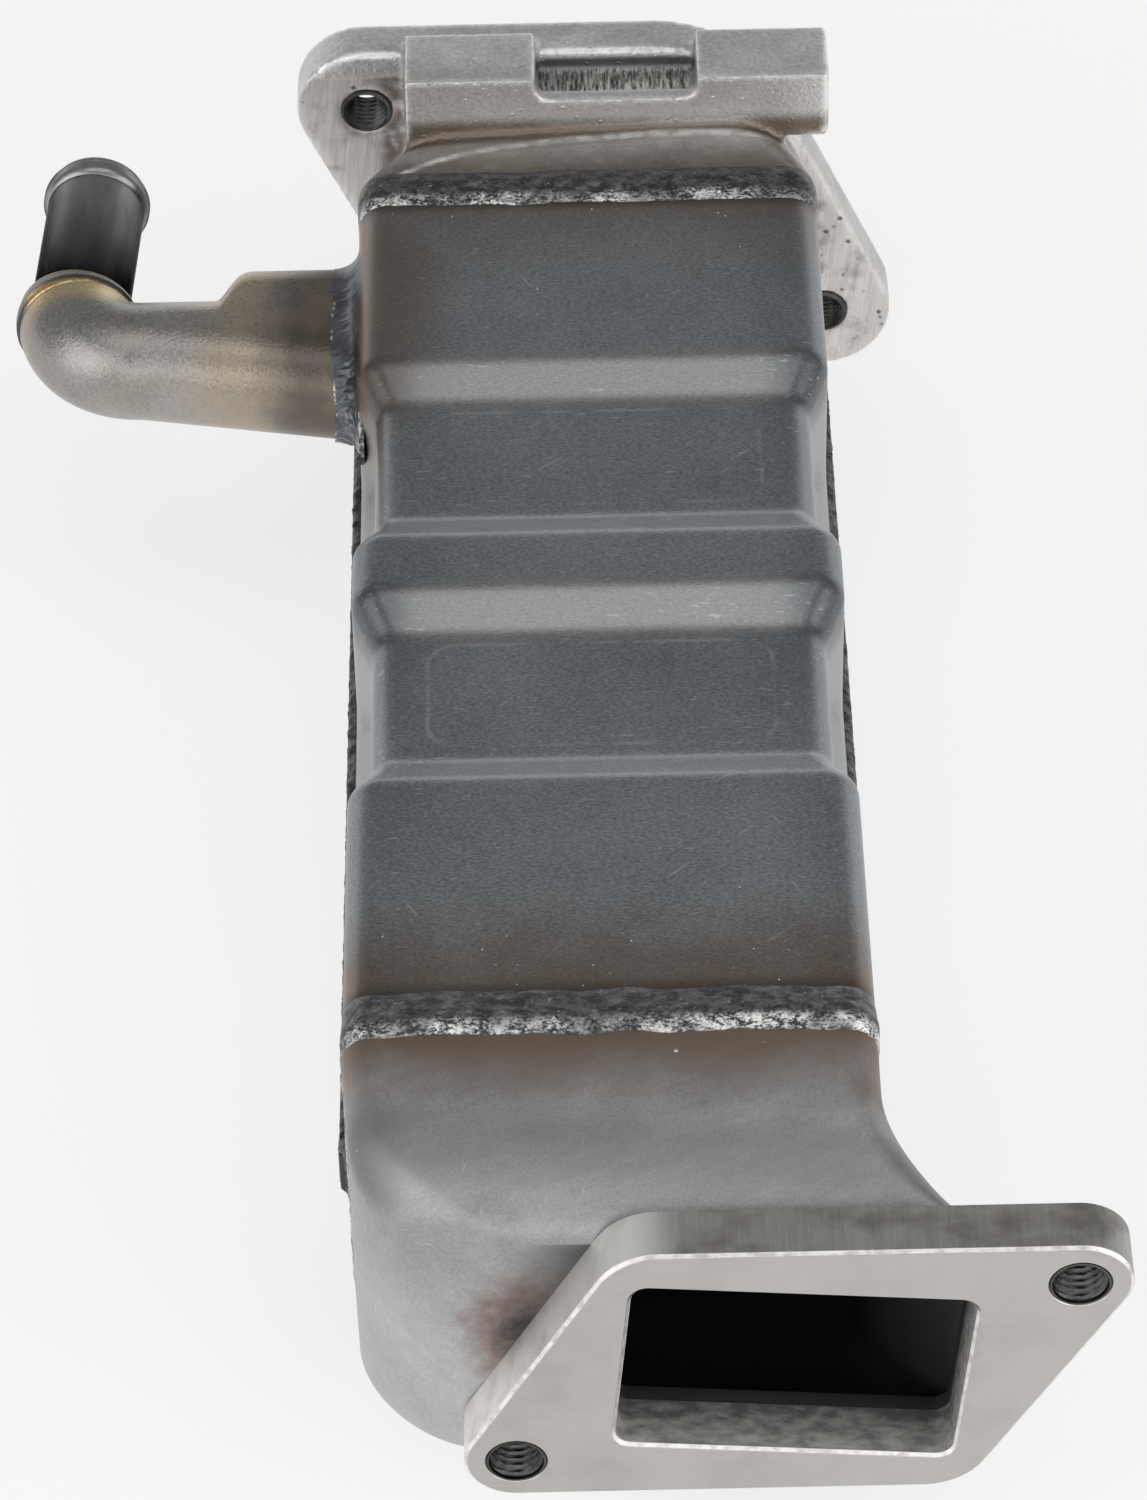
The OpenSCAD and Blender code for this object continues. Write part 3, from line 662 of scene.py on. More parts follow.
@dataclass
class Manifold:
    """Formed pan that carries the gas sideways to the front port."""

    housing: Housing
    depth: float = 36.5
    wall: float = 2.5
    nose_r: float = 7.0
    nose_side: float = 19.0
    nose_roll: float = 18.0
    nose_corner: float = 10.0
    left_draw: float = 2.2
    top_fall: float = 2.0
    flare_start: float = 12.0
    flare_power: float = 2.2
    right: float = 54.1
    thin_share: float = 0.5
    port: tuple[float, float, float] = (48.5, 33.0, 2.5)
    port_tilt: float = -5.0
    steps: int = 17

    def flare(self, d: Array) -> Array:
        """Right wall at the depths d: straight at first, then out by a power of the depth."""
        v = np.clip((d - self.flare_start) / (self.depth - self.flare_start), 0.0, None)
        return self.housing.wall_a + (self.right - self.housing.wall_a) * v ** self.flare_power

    def section(self, d: Array, inset: float) -> Array:
        """Sections at the depths d.

        The left wall draws in and turns along a large quarter circle, the top falls and then rolls down
        along a quarter ellipse, and the bottom tucks in along a quarter circle. The right wall flares, and
        its inner face stays inside the outer one at its own depth.

        Args:
            d: depths from the housing's end.
            inset: distance inside the outer face.

        Returns:
            Points of shape (depths, 4 * steps, 3).
        """
        h = self.housing
        s = np.clip((d - h.weld_half) / (self.depth - h.weld_half), 0.0, None)
        n = np.clip((d - self.depth + self.nose_r) / self.nose_r, 0.0, 1.0)
        tuck = (self.nose_r - inset) * (1.0 - np.sqrt(1.0 - n * n))
        k = np.clip((d - self.depth + self.nose_roll) / self.nose_roll, 0.0, 1.0)
        roll = (self.nose_r - inset) * (1.0 - np.sqrt(1.0 - k * k))
        m = np.clip((d - self.depth + self.nose_side) / self.nose_side, 0.0, 1.0)
        turn = (self.nose_side - inset) * (1.0 - np.sqrt(1.0 - m * m))
        own = d * (self.depth - inset) / self.depth
        right = np.minimum(self.flare(d) - inset, self.flare(own) - self.thin_share * inset)
        top = h.rise - self.top_fall * s * s - roll
        r = h.corner + (self.nose_corner - h.corner) * s * s - tuck - inset
        flat = round_rect(-h.wall_a + self.left_draw * s + turn + inset, right,
                          -h.drop + tuck + inset, top - inset, r, self.steps)
        return stack(flat[..., 0], -own[:, None], flat[..., 1])

    def window(self, y: float) -> Array:
        """Outline of the turned port window at one depth, as one row of points."""
        w, h, r = (np.array([v]) for v in self.port)
        flat = round_rect(-w / 2.0, w / 2.0, -h / 2.0, h / 2.0, r, self.steps)
        c, s = math.cos(math.radians(self.port_tilt)), math.sin(math.radians(self.port_tilt))
        x, z = flat[..., 0] * c - flat[..., 1] * s, flat[..., 0] * s + flat[..., 1] * c
        return stack(x + self.housing.shift, y, z)

    def build(self) -> Piece:
        """Closed skin: outer face, front, window edge and inner face, which is zone 1."""
        h = self.housing
        walls = np.linspace(h.weld_half, self.depth - self.nose_r, 30)
        nose = self.depth - self.nose_r + self.nose_r * np.sin(np.linspace(0.0, math.pi / 2.0, 25))[1:]
        d = np.concatenate(([0.0], walls, nose))
        outer, inner = self.section(d, 0.0), self.section(d, self.wall)
        edge = np.concatenate((self.window(-self.depth), self.window(self.wall - self.depth)))
        rows = h.put(np.concatenate((outer, edge, inner[::-1])))
        zone = np.concatenate((np.zeros(len(outer)), [0.6, 0.8], np.ones(len(inner))))
        return Form().grid(rows, zone[:, None], rows=True, cols=True).build("front_manifold_skin", 38.0)


@dataclass
class Flange:
    """Thick front plate with a turned window and two tapped holes."""

    manifold: Manifold
    thick: float = 8.5
    bolts: tuple[float, float] = (79.2, 35.5)
    ear_r: float = 7.5
    plain_r: float = 10.0
    plain_x: float = 18.8
    hole_r: float = 4.0
    edge: float = 0.55

    def outline(self) -> Array:
        """Belt of arcs and tangents round two ears and two plain corners."""
        ear = np.array([self.bolts[0] / 2.0, self.bolts[1] / 2.0])
        plain = np.array([-self.plain_x, self.bolts[1] / 2.0 + self.ear_r - self.plain_r])
        centres = np.array([ear, plain, -ear, -plain])
        radii = np.array([self.ear_r, self.plain_r] * 2)
        ahead, after = np.roll(centres, -1, axis=0) - centres, np.roll(radii, -1)
        leave = np.arctan2(ahead[:, 1], ahead[:, 0]) - np.arccos((radii - after) / np.hypot(*ahead.T))
        reach = np.roll(leave, 1)
        span = (leave - reach) % (2.0 * math.pi)
        t = reach[:, None] + span[:, None] * np.linspace(0.0, 1.0, 25)
        arcs = centres[:, None] + radii[:, None, None] * np.stack((np.cos(t), np.sin(t)), axis=-1)
        return arcs.reshape(-1, 2)

    def build(self) -> Piece:
        """Front face, chamfers, sides and back face; the zone goes from 0 on the front to 1 on the sides."""
        window = self.manifold.window(0.0)[0][:, [0, 2]] - [self.manifold.housing.shift, 0.0]
        t = circle(64)
        ring = self.hole_r * np.stack((np.cos(t), np.sin(t)), axis=-1)
        bolt = np.array(self.bolts) / 2.0
        form = Form()
        faces: dict[float, list[Array]] = {0.0: [], self.thick: []}
        for loop, inward in ((self.outline(), -1.0), (window, 1.0), (ring + bolt, 1.0), (ring - bolt, 1.0)):
            along = np.roll(loop, -1, axis=0) - np.roll(loop, 1, axis=0)
            out = np.stack((along[:, 1], -along[:, 0]), axis=-1) / np.hypot(*along.T)[:, None]
            front = loop + inward * self.edge * out
            rows = [stack(edge[:, 0], y, edge[:, 1]) for edge, y in
                    ((front, 0.0), (loop, self.edge), (loop, self.thick))]
            form.grid(np.stack(rows), np.array([[0.0], [1.0], [1.0]]), cols=True)
            faces[0.0].append(rows[0])
            faces[self.thick].append(rows[2])
        form.fill(faces[0.0], 0.0).fill(faces[self.thick], 1.0)
        return form.build("front_flange_plate", 25.0)


@dataclass
class Elbow:
    """Coolant elbow: an oblong base that narrows to a round pipe and turns to the rear."""

    housing: Housing
    base_y: float = 170.7
    base_l: float = 34.2
    pipe_y: float = 170.2
    pipe_r: float = 9.8
    z: float = 11.5
    straight: float = 36.8
    bend_r: float = 11.0
    turn: float = math.radians(93.0)
    shoulder: tuple[float, float] = (17.0, 7.0)
    mouth_l: float = 0.8
    mouth_r: float = 10.0
    bore_r: float = 6.5
    rear_lean: float = 1.75
    collar_reach: float = 3.4
    collar_slant: float = 1.8
    collar_root: float = 9.6
    collar_r: float = 9.85
    collar_crown: float = 0.45
    collar_lip: tuple[float, ...] = (10.0, 9.8, 8.3, 8.3)
    sides: int = 64

    def angles(self) -> Array:
        """Angles round the pipe, one row."""
        return (np.arange(self.sides) + 0.5)[None] * 2.0 * math.pi / self.sides

    def pipe(self, s: Array, r: float) -> Array:
        """Sections of the straight stretch: half rounds at two edges, the rear one on a leaning wave."""
        t = self.angles()
        u = np.clip((s - self.shoulder[0]) / self.shoulder[1], 0.0, 1.0)
        front = self.base_y - self.base_l / 2.0
        front = front + (self.pipe_y - self.pipe_r - front) * s / self.straight
        narrow, wide = self.pipe_y + self.pipe_r, self.base_y + self.base_l / 2.0
        rear = narrow + (wide - narrow) * (1.0 + np.cos(math.pi * u ** self.rear_lean)) / 2.0
        half = ((rear - front) / 2.0 - self.pipe_r)[:, None]
        y = ((front + rear) / 2.0)[:, None] + np.sign(np.cos(t)) * half + r * np.cos(t)
        return stack(-self.housing.wall_a - s[:, None], y, self.z + r * np.sin(t))

    def bend(self, b: Array, r: Array, e: float = 0.0) -> Array:
        """Sections of the bend after turns b, of radii r, carried on straight by e."""
        t = self.angles()
        b, r = b[:, None], r[:, None]
        q = self.bend_r - r * np.cos(t)
        x = -self.housing.wall_a - self.straight - q * np.sin(b) - e * np.cos(b)
        return stack(x, self.pipe_y + self.bend_r - q * np.cos(b) + e * np.sin(b), self.z + r * np.sin(t))

    def along(self, d: Array, r: Array, t: Array) -> Array:
        """Points round the hose tube's axis at distances d from the mouth, radii r and angles t."""
        c, s = math.cos(self.turn), math.sin(self.turn)
        reach = self.mouth_l + d
        x = -self.housing.wall_a - self.straight - (self.bend_r + r * np.cos(t)) * s - reach * c
        y = self.pipe_y + self.bend_r - (self.bend_r + r * np.cos(t)) * c + reach * s
        return self.housing.put(stack(x, y, self.z + r * np.sin(t)))

    def skin(self, r: float, r_end: float) -> Array:
        """All sections from the wall to the mouth."""
        lead = np.linspace(0.0, self.shoulder[0], 6)
        drop = self.shoulder[0] + self.shoulder[1] * np.linspace(0.0, 1.0, 17)[1:]
        rest = np.linspace(drop[-1], self.straight, 5)[1:-1]
        b = np.linspace(0.0, self.turn, 29)
        radii = r + (r_end - r) * b / self.turn
        straight = self.pipe(np.concatenate((lead, drop, rest)), r)
        mouth = self.bend(b[-1:], radii[-1:], self.mouth_l)
        return self.housing.put(np.concatenate((straight, self.bend(b, radii), mouth)))

    def build(self) -> Piece:
        """Closed skin with its bore, and a round collar at the mouth, which is zone 1."""
        outer, inner = self.skin(self.pipe_r, self.mouth_r), self.skin(self.bore_r, self.bore_r)
        form = Form().grid(np.concatenate((outer, inner[::-1])), rows=True, cols=True)
        t = circle(96)[None]
        reach = self.collar_reach + self.collar_slant * np.cos(t)
        share = np.concatenate(([1.0], np.linspace(0.94, 0.2, 7), [0.03, 0.0, 0.0, 1.0]))[:, None]
        crown = self.collar_r + self.collar_crown * np.sin(np.linspace(0.3, 2.6, 7))
        r = np.concatenate(([self.collar_root], crown, self.collar_lip))
        form.grid(self.along(-reach * share, r[:, None], t), 1.0, rows=True, cols=True)
        return form.build("coolant_elbow_skin", 42.0)


@dataclass
class HoseTube:
    """Drawn tube with a rolled hose bead near its end."""

    elbow: Elbow
    radius: float = 8.3
    bore: float = 6.5
    length: float = 34.0
    seat: float = 2.5
    bead_at: float = 30.6
    bead_rise: float = 0.85
    bead_half: float = 1.97
    bead_land: float = 0.5
    bead_power: float = 0.8
    pale_from: float = 25.5
    pale_run: float = 3.0

    def build(self) -> Piece:
        """Profile turned round the axis: wall, level-crested bead, round lip and bore; the bead is zone 1."""
        bead = self.bead_at + self.bead_half * np.linspace(-1.0, 1.0, 25)
        d = np.concatenate(([-self.seat, 0.0], bead))
        away = np.clip(np.abs(d - self.bead_at) - self.bead_land, 0.0, None)
        away = away / (self.bead_half - self.bead_land)
        lift = np.clip(1.0 - away ** 2, 0.0, 1.0) ** self.bead_power
        lip = np.linspace(0.0, math.pi, 13)
        mid, half = (self.radius + self.bore) / 2.0, (self.radius - self.bore) / 2.0
        d_all = np.concatenate((d, self.length - half + half * np.sin(lip), [-self.seat]))
        r_all = np.concatenate((self.radius + self.bead_rise * lift, mid + half * np.cos(lip), [self.bore]))
        zone = ease((d_all - self.pale_from) / self.pale_run)
        zone[-1] = 0.0
        t = circle(96)[None]
        points = self.elbow.along(d_all[:, None], r_all[:, None], t)
        return Form().grid(points, zone[:, None], rows=True, cols=True).build("hose_tube_skin", 50.0)


@dataclass
class EndWeld:
    """Broad bead round one end of the housing."""

    housing: Housing
    name: str
    at: float
    facing: float
    seed: int
    high: float = 1.25
    side_share: float = 0.35
    sunk: float = 0.12
    root: float = 0.7
    around: int = 760
    across: int = 25
    grit: tuple[Layer, ...] = ((90, 2.3, 0.26), (300, 7.0, 0.26), (700, 17.0, 0.18))
    sways: tuple[Layer, ...] = ((36, 0.0, 0.30), (170, 0.0, 0.16))

    def paths(self) -> tuple[Array, Array]:
        """Outlines of the housing with its lap and of the piece that meets it, point for point.

        Returns:
            Two arrays of shape (around, 2).
        """
        h = self.housing
        t = np.linspace(0.0, math.pi / 2.0, 16)
        side, sin, cos = h.wall_a - h.corner, h.corner * np.sin(t), h.corner * np.cos(t)
        low = np.stack((side + sin, h.corner - h.drop - cos), axis=-1)
        high = np.stack((side + cos, h.rise - h.corner + sin), axis=-1)
        lap_z = np.array([h.joggle_z - h.joggle_h, h.joggle_z, h.seam_z, h.seam_z + 1.0])
        lap_x = np.array([h.wall_a, h.lap_a, h.lap_a, h.wall_a])
        outlines = []
        for x in (lap_x, np.full(4, h.wall_a)):
            half = np.concatenate((low, np.stack((x, lap_z), axis=-1), high))
            outlines.append(np.concatenate((half, half[::-1] * [-1.0, 1.0])))
        loop = np.concatenate((outlines[0], outlines[0][:1]))
        run = np.concatenate(([0.0], np.cumsum(np.hypot(*np.diff(loop, axis=0).T))))
        want = np.linspace(0.0, run[-1], self.around, endpoint=False)
        resampled = []
        for path in outlines:
            closed = np.concatenate((path, path[:1]))
            resampled.append(np.stack([np.interp(want, run, closed[:, k]) for k in (0, 1)], axis=-1))
        return resampled[0], resampled[1]

    def build(self) -> Piece:
        """Domed profile carried round the outline and roughened by lattice noise; the zone runs across it."""
        housing_path, mate_path = self.paths()
        tangent = np.roll(mate_path, -3, axis=0) - np.roll(mate_path, 3, axis=0)
        out = np.stack((tangent[:, 1], -tangent[:, 0]), axis=-1)
        out /= np.hypot(*out.T)[:, None]
        v = np.linspace(0.0, 1.0, self.across)[None]
        u = np.arange(self.around)[:, None] / self.around
        blend = ease((v - 0.35) / 0.3)
        share = self.side_share + (1.0 - self.side_share) * np.abs(out[:, 1:2]) ** 1.5
        dome = np.sin(math.pi * v) ** 0.6 * (0.75 + 0.35 * blend)
        near = v if self.facing > 0 else 1.0 - v
        rough = relief(u, v, self.seed, self.grit) * np.sin(math.pi * v) ** 0.5
        rough = rough * (0.25 + 0.75 * ease((near - 0.35) / 0.4))
        lift = share * (self.high * dome + rough) - self.sunk
        sway = relief(u, v, self.seed + len(self.grit), self.sways)
        y = self.housing.weld_half * (1.0 - 2.0 * v) + sway * np.abs(1.0 - 2.0 * v)
        turn = blend[..., None]
        base = housing_path[:, None] * (1.0 - turn) + mate_path[:, None] * turn
        flat = base + lift[..., None] * out[:, None]
        rows = stack(flat[..., 0], y, flat[..., 1])
        buried = rows[:, [-1, 0]].copy()
        buried[..., [0, 2]] -= self.root * out[:, None]
        rows = np.concatenate((rows, buried), axis=1)
        rows[..., 1] = self.at + self.facing * rows[..., 1]
        zone = np.hstack((np.broadcast_to(v, (self.around, self.across)), np.full((self.around, 2), 0.5)))
        return Form().grid(self.housing.put(rows), zone, rows=True, cols=True).build(self.name, 60.0)


@dataclass
class SeamWeld:
    """Rough strip on the lapped edge of one side."""

    housing: Housing
    name: str
    side: float
    seed: int
    high: float = 2.0
    bulge: float = 0.25
    root: float = 0.6

    def build(self) -> Piece:
        """Bulged fillet from the lap's edge to the wall, carried along the housing with lattice noise."""
        h = self.housing
        y = np.linspace(h.weld_half - 1.0, h.length - h.weld_half + 1.0, 520)[:, None]
        t = np.linspace(0.0, 1.0, 9)[None]
        rough = 0.35 * lattice(y / 1.7, t * 2.1, self.seed, 120)
        rough = rough + 0.2 * lattice(y / 0.6, t * 5.0, self.seed + 1, 400)
        rough = rough * np.sin(math.pi * np.clip(t, 0.04, 0.96))
        grow = 1.0 + 0.25 * lattice(y / 9.0, t * 0.0, self.seed + 2, 40)
        x = h.lap_a - h.sheet * t ** 1.6 + self.bulge * np.sin(math.pi * t) + 0.6 * rough - 0.05
        z = h.seam_z + self.high * grow * t ** 0.8 + 0.4 * rough - 0.05
        x = np.hstack((x, np.full((len(y), 2), h.wall_a - self.root)))
        z = np.hstack((z, z[:, -1:], np.full_like(y, h.seam_z - 0.4)))
        rows = h.put(stack(self.side * x, y, z))
        form = Form().grid(rows, 0.5, cols=True)
        for end in (0, -1):
            ring = rows[end]
            form.grid(np.stack((ring, np.broadcast_to(ring.mean(axis=0), ring.shape))), 0.5, cols=True)
        return form.build(self.name, 60.0)


@dataclass
class ElbowWeld:
    """Fillet round the elbow's base, with a run-out behind it and a tail in front of it."""

    elbow: Elbow
    around: int = 420
    across: int = 13
    seed: int = 91
    tall: float = 4.4

    def build(self) -> Piece:
        """Concave fillet carried round the oblong base, widest in front; it follows the rounded corner."""
        e = self.elbow
        half = e.base_l / 2.0 - e.pipe_r
        arc = math.pi * e.pipe_r
        total = 2.0 * arc + 4.0 * half
        s = np.linspace(0.0, total, self.around, endpoint=False)
        turned = np.where(s < arc, s / arc, np.where(s < arc + 2 * half, 1.0, np.where(
            s < 2 * arc + 2 * half, 1.0 + (s - arc - 2 * half) / arc, 2.0)))
        t = (turned - 0.5) * math.pi
        ends = [0.0, arc, arc + 2 * half, 2 * arc + 2 * half, total]
        shift = np.interp(s, ends, [half, half, -half, -half, half])
        out_y, out_z = np.cos(t)[:, None], np.sin(t)[:, None]
        v = np.linspace(0.0, 1.0, self.across)[None]
        u = (np.arange(self.around) / self.around)[:, None]
        wide = 1.8 + 3.6 * np.clip(out_y, 0, 1) ** 4 + 6.2 * np.clip(-out_y, 0, 1) ** 6
        wide = wide + 3.0 * np.clip(out_z, 0, 1) ** 2
        tall = self.tall + relief(u, v, self.seed, ((20, 0.0, 0.5),))
        drips = ease((-out_y - 0.35) / 0.4)
        rough = relief(u, v, self.seed + 1, ((40, 2.5, 0.12), (150, 7.0, 0.05 + 0.25 * drips)))
        rough = rough * np.sin(math.pi * v) ** 0.6
        offset = wide * (1.0 - v) ** 2.0 + rough + 0.12 * v
        x = np.hstack((0.1 - tall * v ** 1.8 - 0.8 * rough, np.full_like(u, -2.0), np.full_like(u, 0.9)))
        offset = np.hstack((offset, np.full_like(u, -0.9), wide))
        y = e.base_y + shift[:, None] + (e.pipe_r + offset) * out_y
        z = e.z + (e.pipe_r + offset) * out_z
        corner = e.housing.corner
        climb = np.clip(z - e.housing.rise + corner, 0.0, 0.98 * corner)
        x = x - e.housing.wall_a + corner - np.sqrt(corner * corner - climb * climb)
        zone = np.hstack((np.broadcast_to(v, (self.around, self.across)), np.full((self.around, 2), 0.5)))
        form = Form().grid(e.housing.put(stack(x, y, z)), zone, rows=True, cols=True)
        return form.build("elbow_weld_bead", 60.0)


@dataclass
class Thread:
    """Screw thread inside one tapped hole."""

    name: str
    centre: Colour
    length: float
    lead: float
    major: float = 4.0
    minor: float = 3.32
    pitch: float = 1.25
    sleeve: float = 0.3

    def build(self) -> Piece:
        """Sleeve whose inner radius is a slanted zigzag of the height, so that its crests form a helix."""
        t = circle(48)[None]
        d = np.linspace(0.0, self.length, int(self.length / self.pitch * 10) + 1)[:, None]
        saw = np.abs(((d / self.pitch - t / (2.0 * math.pi)) % 1.0) * 2.0 - 1.0)
        ends = ease((d - 0.5 * self.lead) / self.lead) * ease((self.length - 0.5 * self.lead - d) / self.lead)
        r = self.major - (self.major - self.minor) * np.clip(saw * 1.25 - 0.1, 0.0, 1.0) * ends - 0.02
        inner = stack(self.centre[0] + r * np.cos(t), self.centre[1] + d, self.centre[2] + r * np.sin(t))
        wide = self.major + self.sleeve
        back = stack(self.centre[0] + wide * np.cos(t), self.centre[1] + d[[-1, 0]],
                     self.centre[2] + wide * np.sin(t))
        return Form().grid(np.concatenate((inner, back)), rows=True, cols=True).build(self.name, 35.0)


@dataclass
class Spatter:
    """Tiny beads of weld metal that stuck to the sheet."""

    housing: Housing
    seed: int = 7

    def spots(self) -> Array:
        """Places on the roof and sizes, one row each: x, y, z, radius."""
        rng = np.random.default_rng(self.seed)
        front = np.stack((rng.uniform(-58, 8, 16), 50.0 + 9.0 * rng.exponential(1.0, 16)), axis=-1)
        rear = np.stack((rng.uniform(-58, 8, 9), 234.0 - 10.0 * rng.exponential(1.0, 9)), axis=-1)
        flat = np.concatenate((front, rear))
        z = self.housing.rise - self.housing.groove(flat[:, 1] - self.housing.front_y)
        radius = rng.uniform(0.08, 0.18, len(flat))
        pan = np.array([[-15.6, 36.9, 27.8, 0.45], [-3.0, 38.2, 27.9, 0.16]])
        return np.concatenate((np.column_stack((flat, z, radius)), pan))

    def build(self) -> Piece:
        """Flattened balls from one grid of angles."""
        a = circle(8)[None]
        b = np.linspace(-math.pi / 2.0, math.pi / 2.0, 6)[:, None]
        ball = stack(np.cos(b) * np.cos(a), np.cos(b) * np.sin(a), 0.75 * np.sin(b))
        form = Form()
        for x, y, z, r in self.spots():
            form.grid(ball * r + [x, y, z], cols=True)
        return form.build("weld_spatter", 80.0)


@dataclass
class Casting:
    """Cast neck, rear flange and slotted bar, softened as a casting is."""

    node: Piece
    voxel: float = 0.72
    face_y: float = 268.0
    back_y: float = 277.0
    bar_z: float = 30.0
    edge_lift: float = 0.09

    def build(self) -> Piece:
        """Copy of the CAD form with rounded edges; the ground flange faces are zone 1."""
        mesh = self.node.data.copy()
        mesh.materials.clear()
        tidy(mesh)
        piece = place(mesh, "rear_casting_skin")
        skin = piece.modifiers.new("skin", "REMESH")
        skin.mode = "VOXEL"
        skin.voxel_size = self.voxel * MM
        relax = piece.modifiers.new("relax", "SMOOTH")
        relax.factor = 0.5
        relax.iterations = 3
        settle(piece)
        _, y, z = points_of(piece.data).T
        near = np.minimum(np.abs(y - self.face_y), np.abs(y - self.back_y))
        mark(piece.data, (1.0 - ease((near - 0.15) / 0.5)) * ((z < self.bar_z) | (y > self.back_y - 1.0)))
        mark(piece.data, ease(standing_out(piece.data) / self.edge_lift), "edge")
        return soften(piece, 60.0)


@dataclass(frozen=True)
class SheetFinish:
    """Dark mill finish, speckled, scratched and browned beside the welds, with painted light and shade on the
    slopes, flanks and walls.
    """

    housing: Housing
    dark: Colour = (0.184, 0.199, 0.211)
    pale: Colour = (0.430, 0.450, 0.468)
    brown: Colour = (0.181, 0.118, 0.069)
    scorched: Colour = (0.062, 0.053, 0.047)
    lit_slope: Colour = (0.350, 0.334, 0.314)
    dim_corner: Colour = (0.085, 0.089, 0.094)
    # colour of the painted reflection on the lower side walls
    wall: Colour = (0.430, 0.426, 0.426)
    bared: Colour = (0.639, 0.639, 0.646)
    traced: Colour = (0.556, 0.563, 0.569)
    frame_size: tuple[float, float] = (53.0, 23.0)
    frame_r: float = 4.5
    frame_shift: tuple[float, float] = (0.1, 0.3)

    def frame(self, p: Paint, groove: float) -> Signal:
        """Thin rounded frame on the floor of the groove at that place along the part."""
        centre = (self.frame_shift[0] - self.housing.shift, groove + self.frame_shift[1])
        return abs(p.oblong(centre, self.frame_size, self.frame_r)).fade(0.15, 0.55)

    def make(self) -> Material:
        """Build the material."""
        p = Paint("dark_sheet")
        h = self.housing
        first, second = (h.front_y + float(y) for y in h.middles())
        slope = (h.groove_l + h.groove_run) / 2.0
        speck = p.noise(2.6, 3.0, (0.6, 1.3, 1.0))
        cloud = p.noise(0.045)
        scratch = p.scratches(0.2)
        fleck = p.noise(1.0, 1.0, (0.35, 2.0, 1.0)).step(0.66, 0.74) * p.noise(0.2, 1.0).step(0.45, 0.6)
        across = abs(p.x + h.shift)
        flanks, corner = across.step(20.0, 37.0), across.step(27.0, 34.5)
        walls = p.z.fade(16.0, 23.0)
        facing = p.y.near(first + slope, 4.0, 6.5).most(p.y.near(second + slope, 4.0, 6.5))
        away = p.y.near(first - slope, 3.0, 6.0).most(p.y.near(second - slope, 3.0, 6.0))
        # Painted light: darker roof flanks, lighter side walls and away-facing slopes; lighter at the front
        tone = (speck - 0.5) * 1.9 + (cloud - 0.5) * 0.5 + 0.34 - flanks * (0.24 - walls * 0.45)
        tone = tone + away * 0.22 + p.y.fade(70.0, 105.0) * 0.1
        p.base(self.dark, self.pale, tone)
        # Painted highlight on the slopes that face the front, painted shade where they meet the corners
        p.lay(self.lit_slope, facing * 0.35 * (1.0 - corner))
        p.lay(self.dim_corner, facing * corner * p.z.step(15.0, 19.0) * 0.5)
        # Painted reflection: the lower side walls are laid paler
        p.lay(self.wall, walls * 0.25)
        p.lay(self.bared, (scratch * 0.55).most(fleck * 0.4))
        drift = p.noise(0.12) * 16.0
        front = (p.y + drift).fade(57.0, 79.0)
        rear = (p.y - drift).step(205.0, 231.0)
        side = p.ball((-63.0, 214.0, 16.0), (18.0, 38.0, 26.0)).fade(0.5, 1.15)
        p.lay(self.brown, front.most(rear * 0.7).most(side * 0.85) * 0.66)
        scorch = p.y.fade(48.5, 52.5).most(p.y.step(231.5, 235.5))
        p.lay(self.scorched, scorch * 0.75)
        patchy = p.noise(0.09, 2.0).step(0.46, 0.62)
        frames = self.frame(p, second).most(self.frame(p, first)) * p.z.step(20.0, 22.0)
        trace = frames * (0.12 + 0.88 * patchy)
        p.lay(self.traced, trace * 0.32)
        height = speck * 0.35 + p.noise(6.0, 2.0) * 0.25 + trace * 0.4 - scratch * 0.3
        return p.done(0.36 + (speck - 0.5) * 0.25 + (cloud - 0.5) * 0.12, height, 0.035)


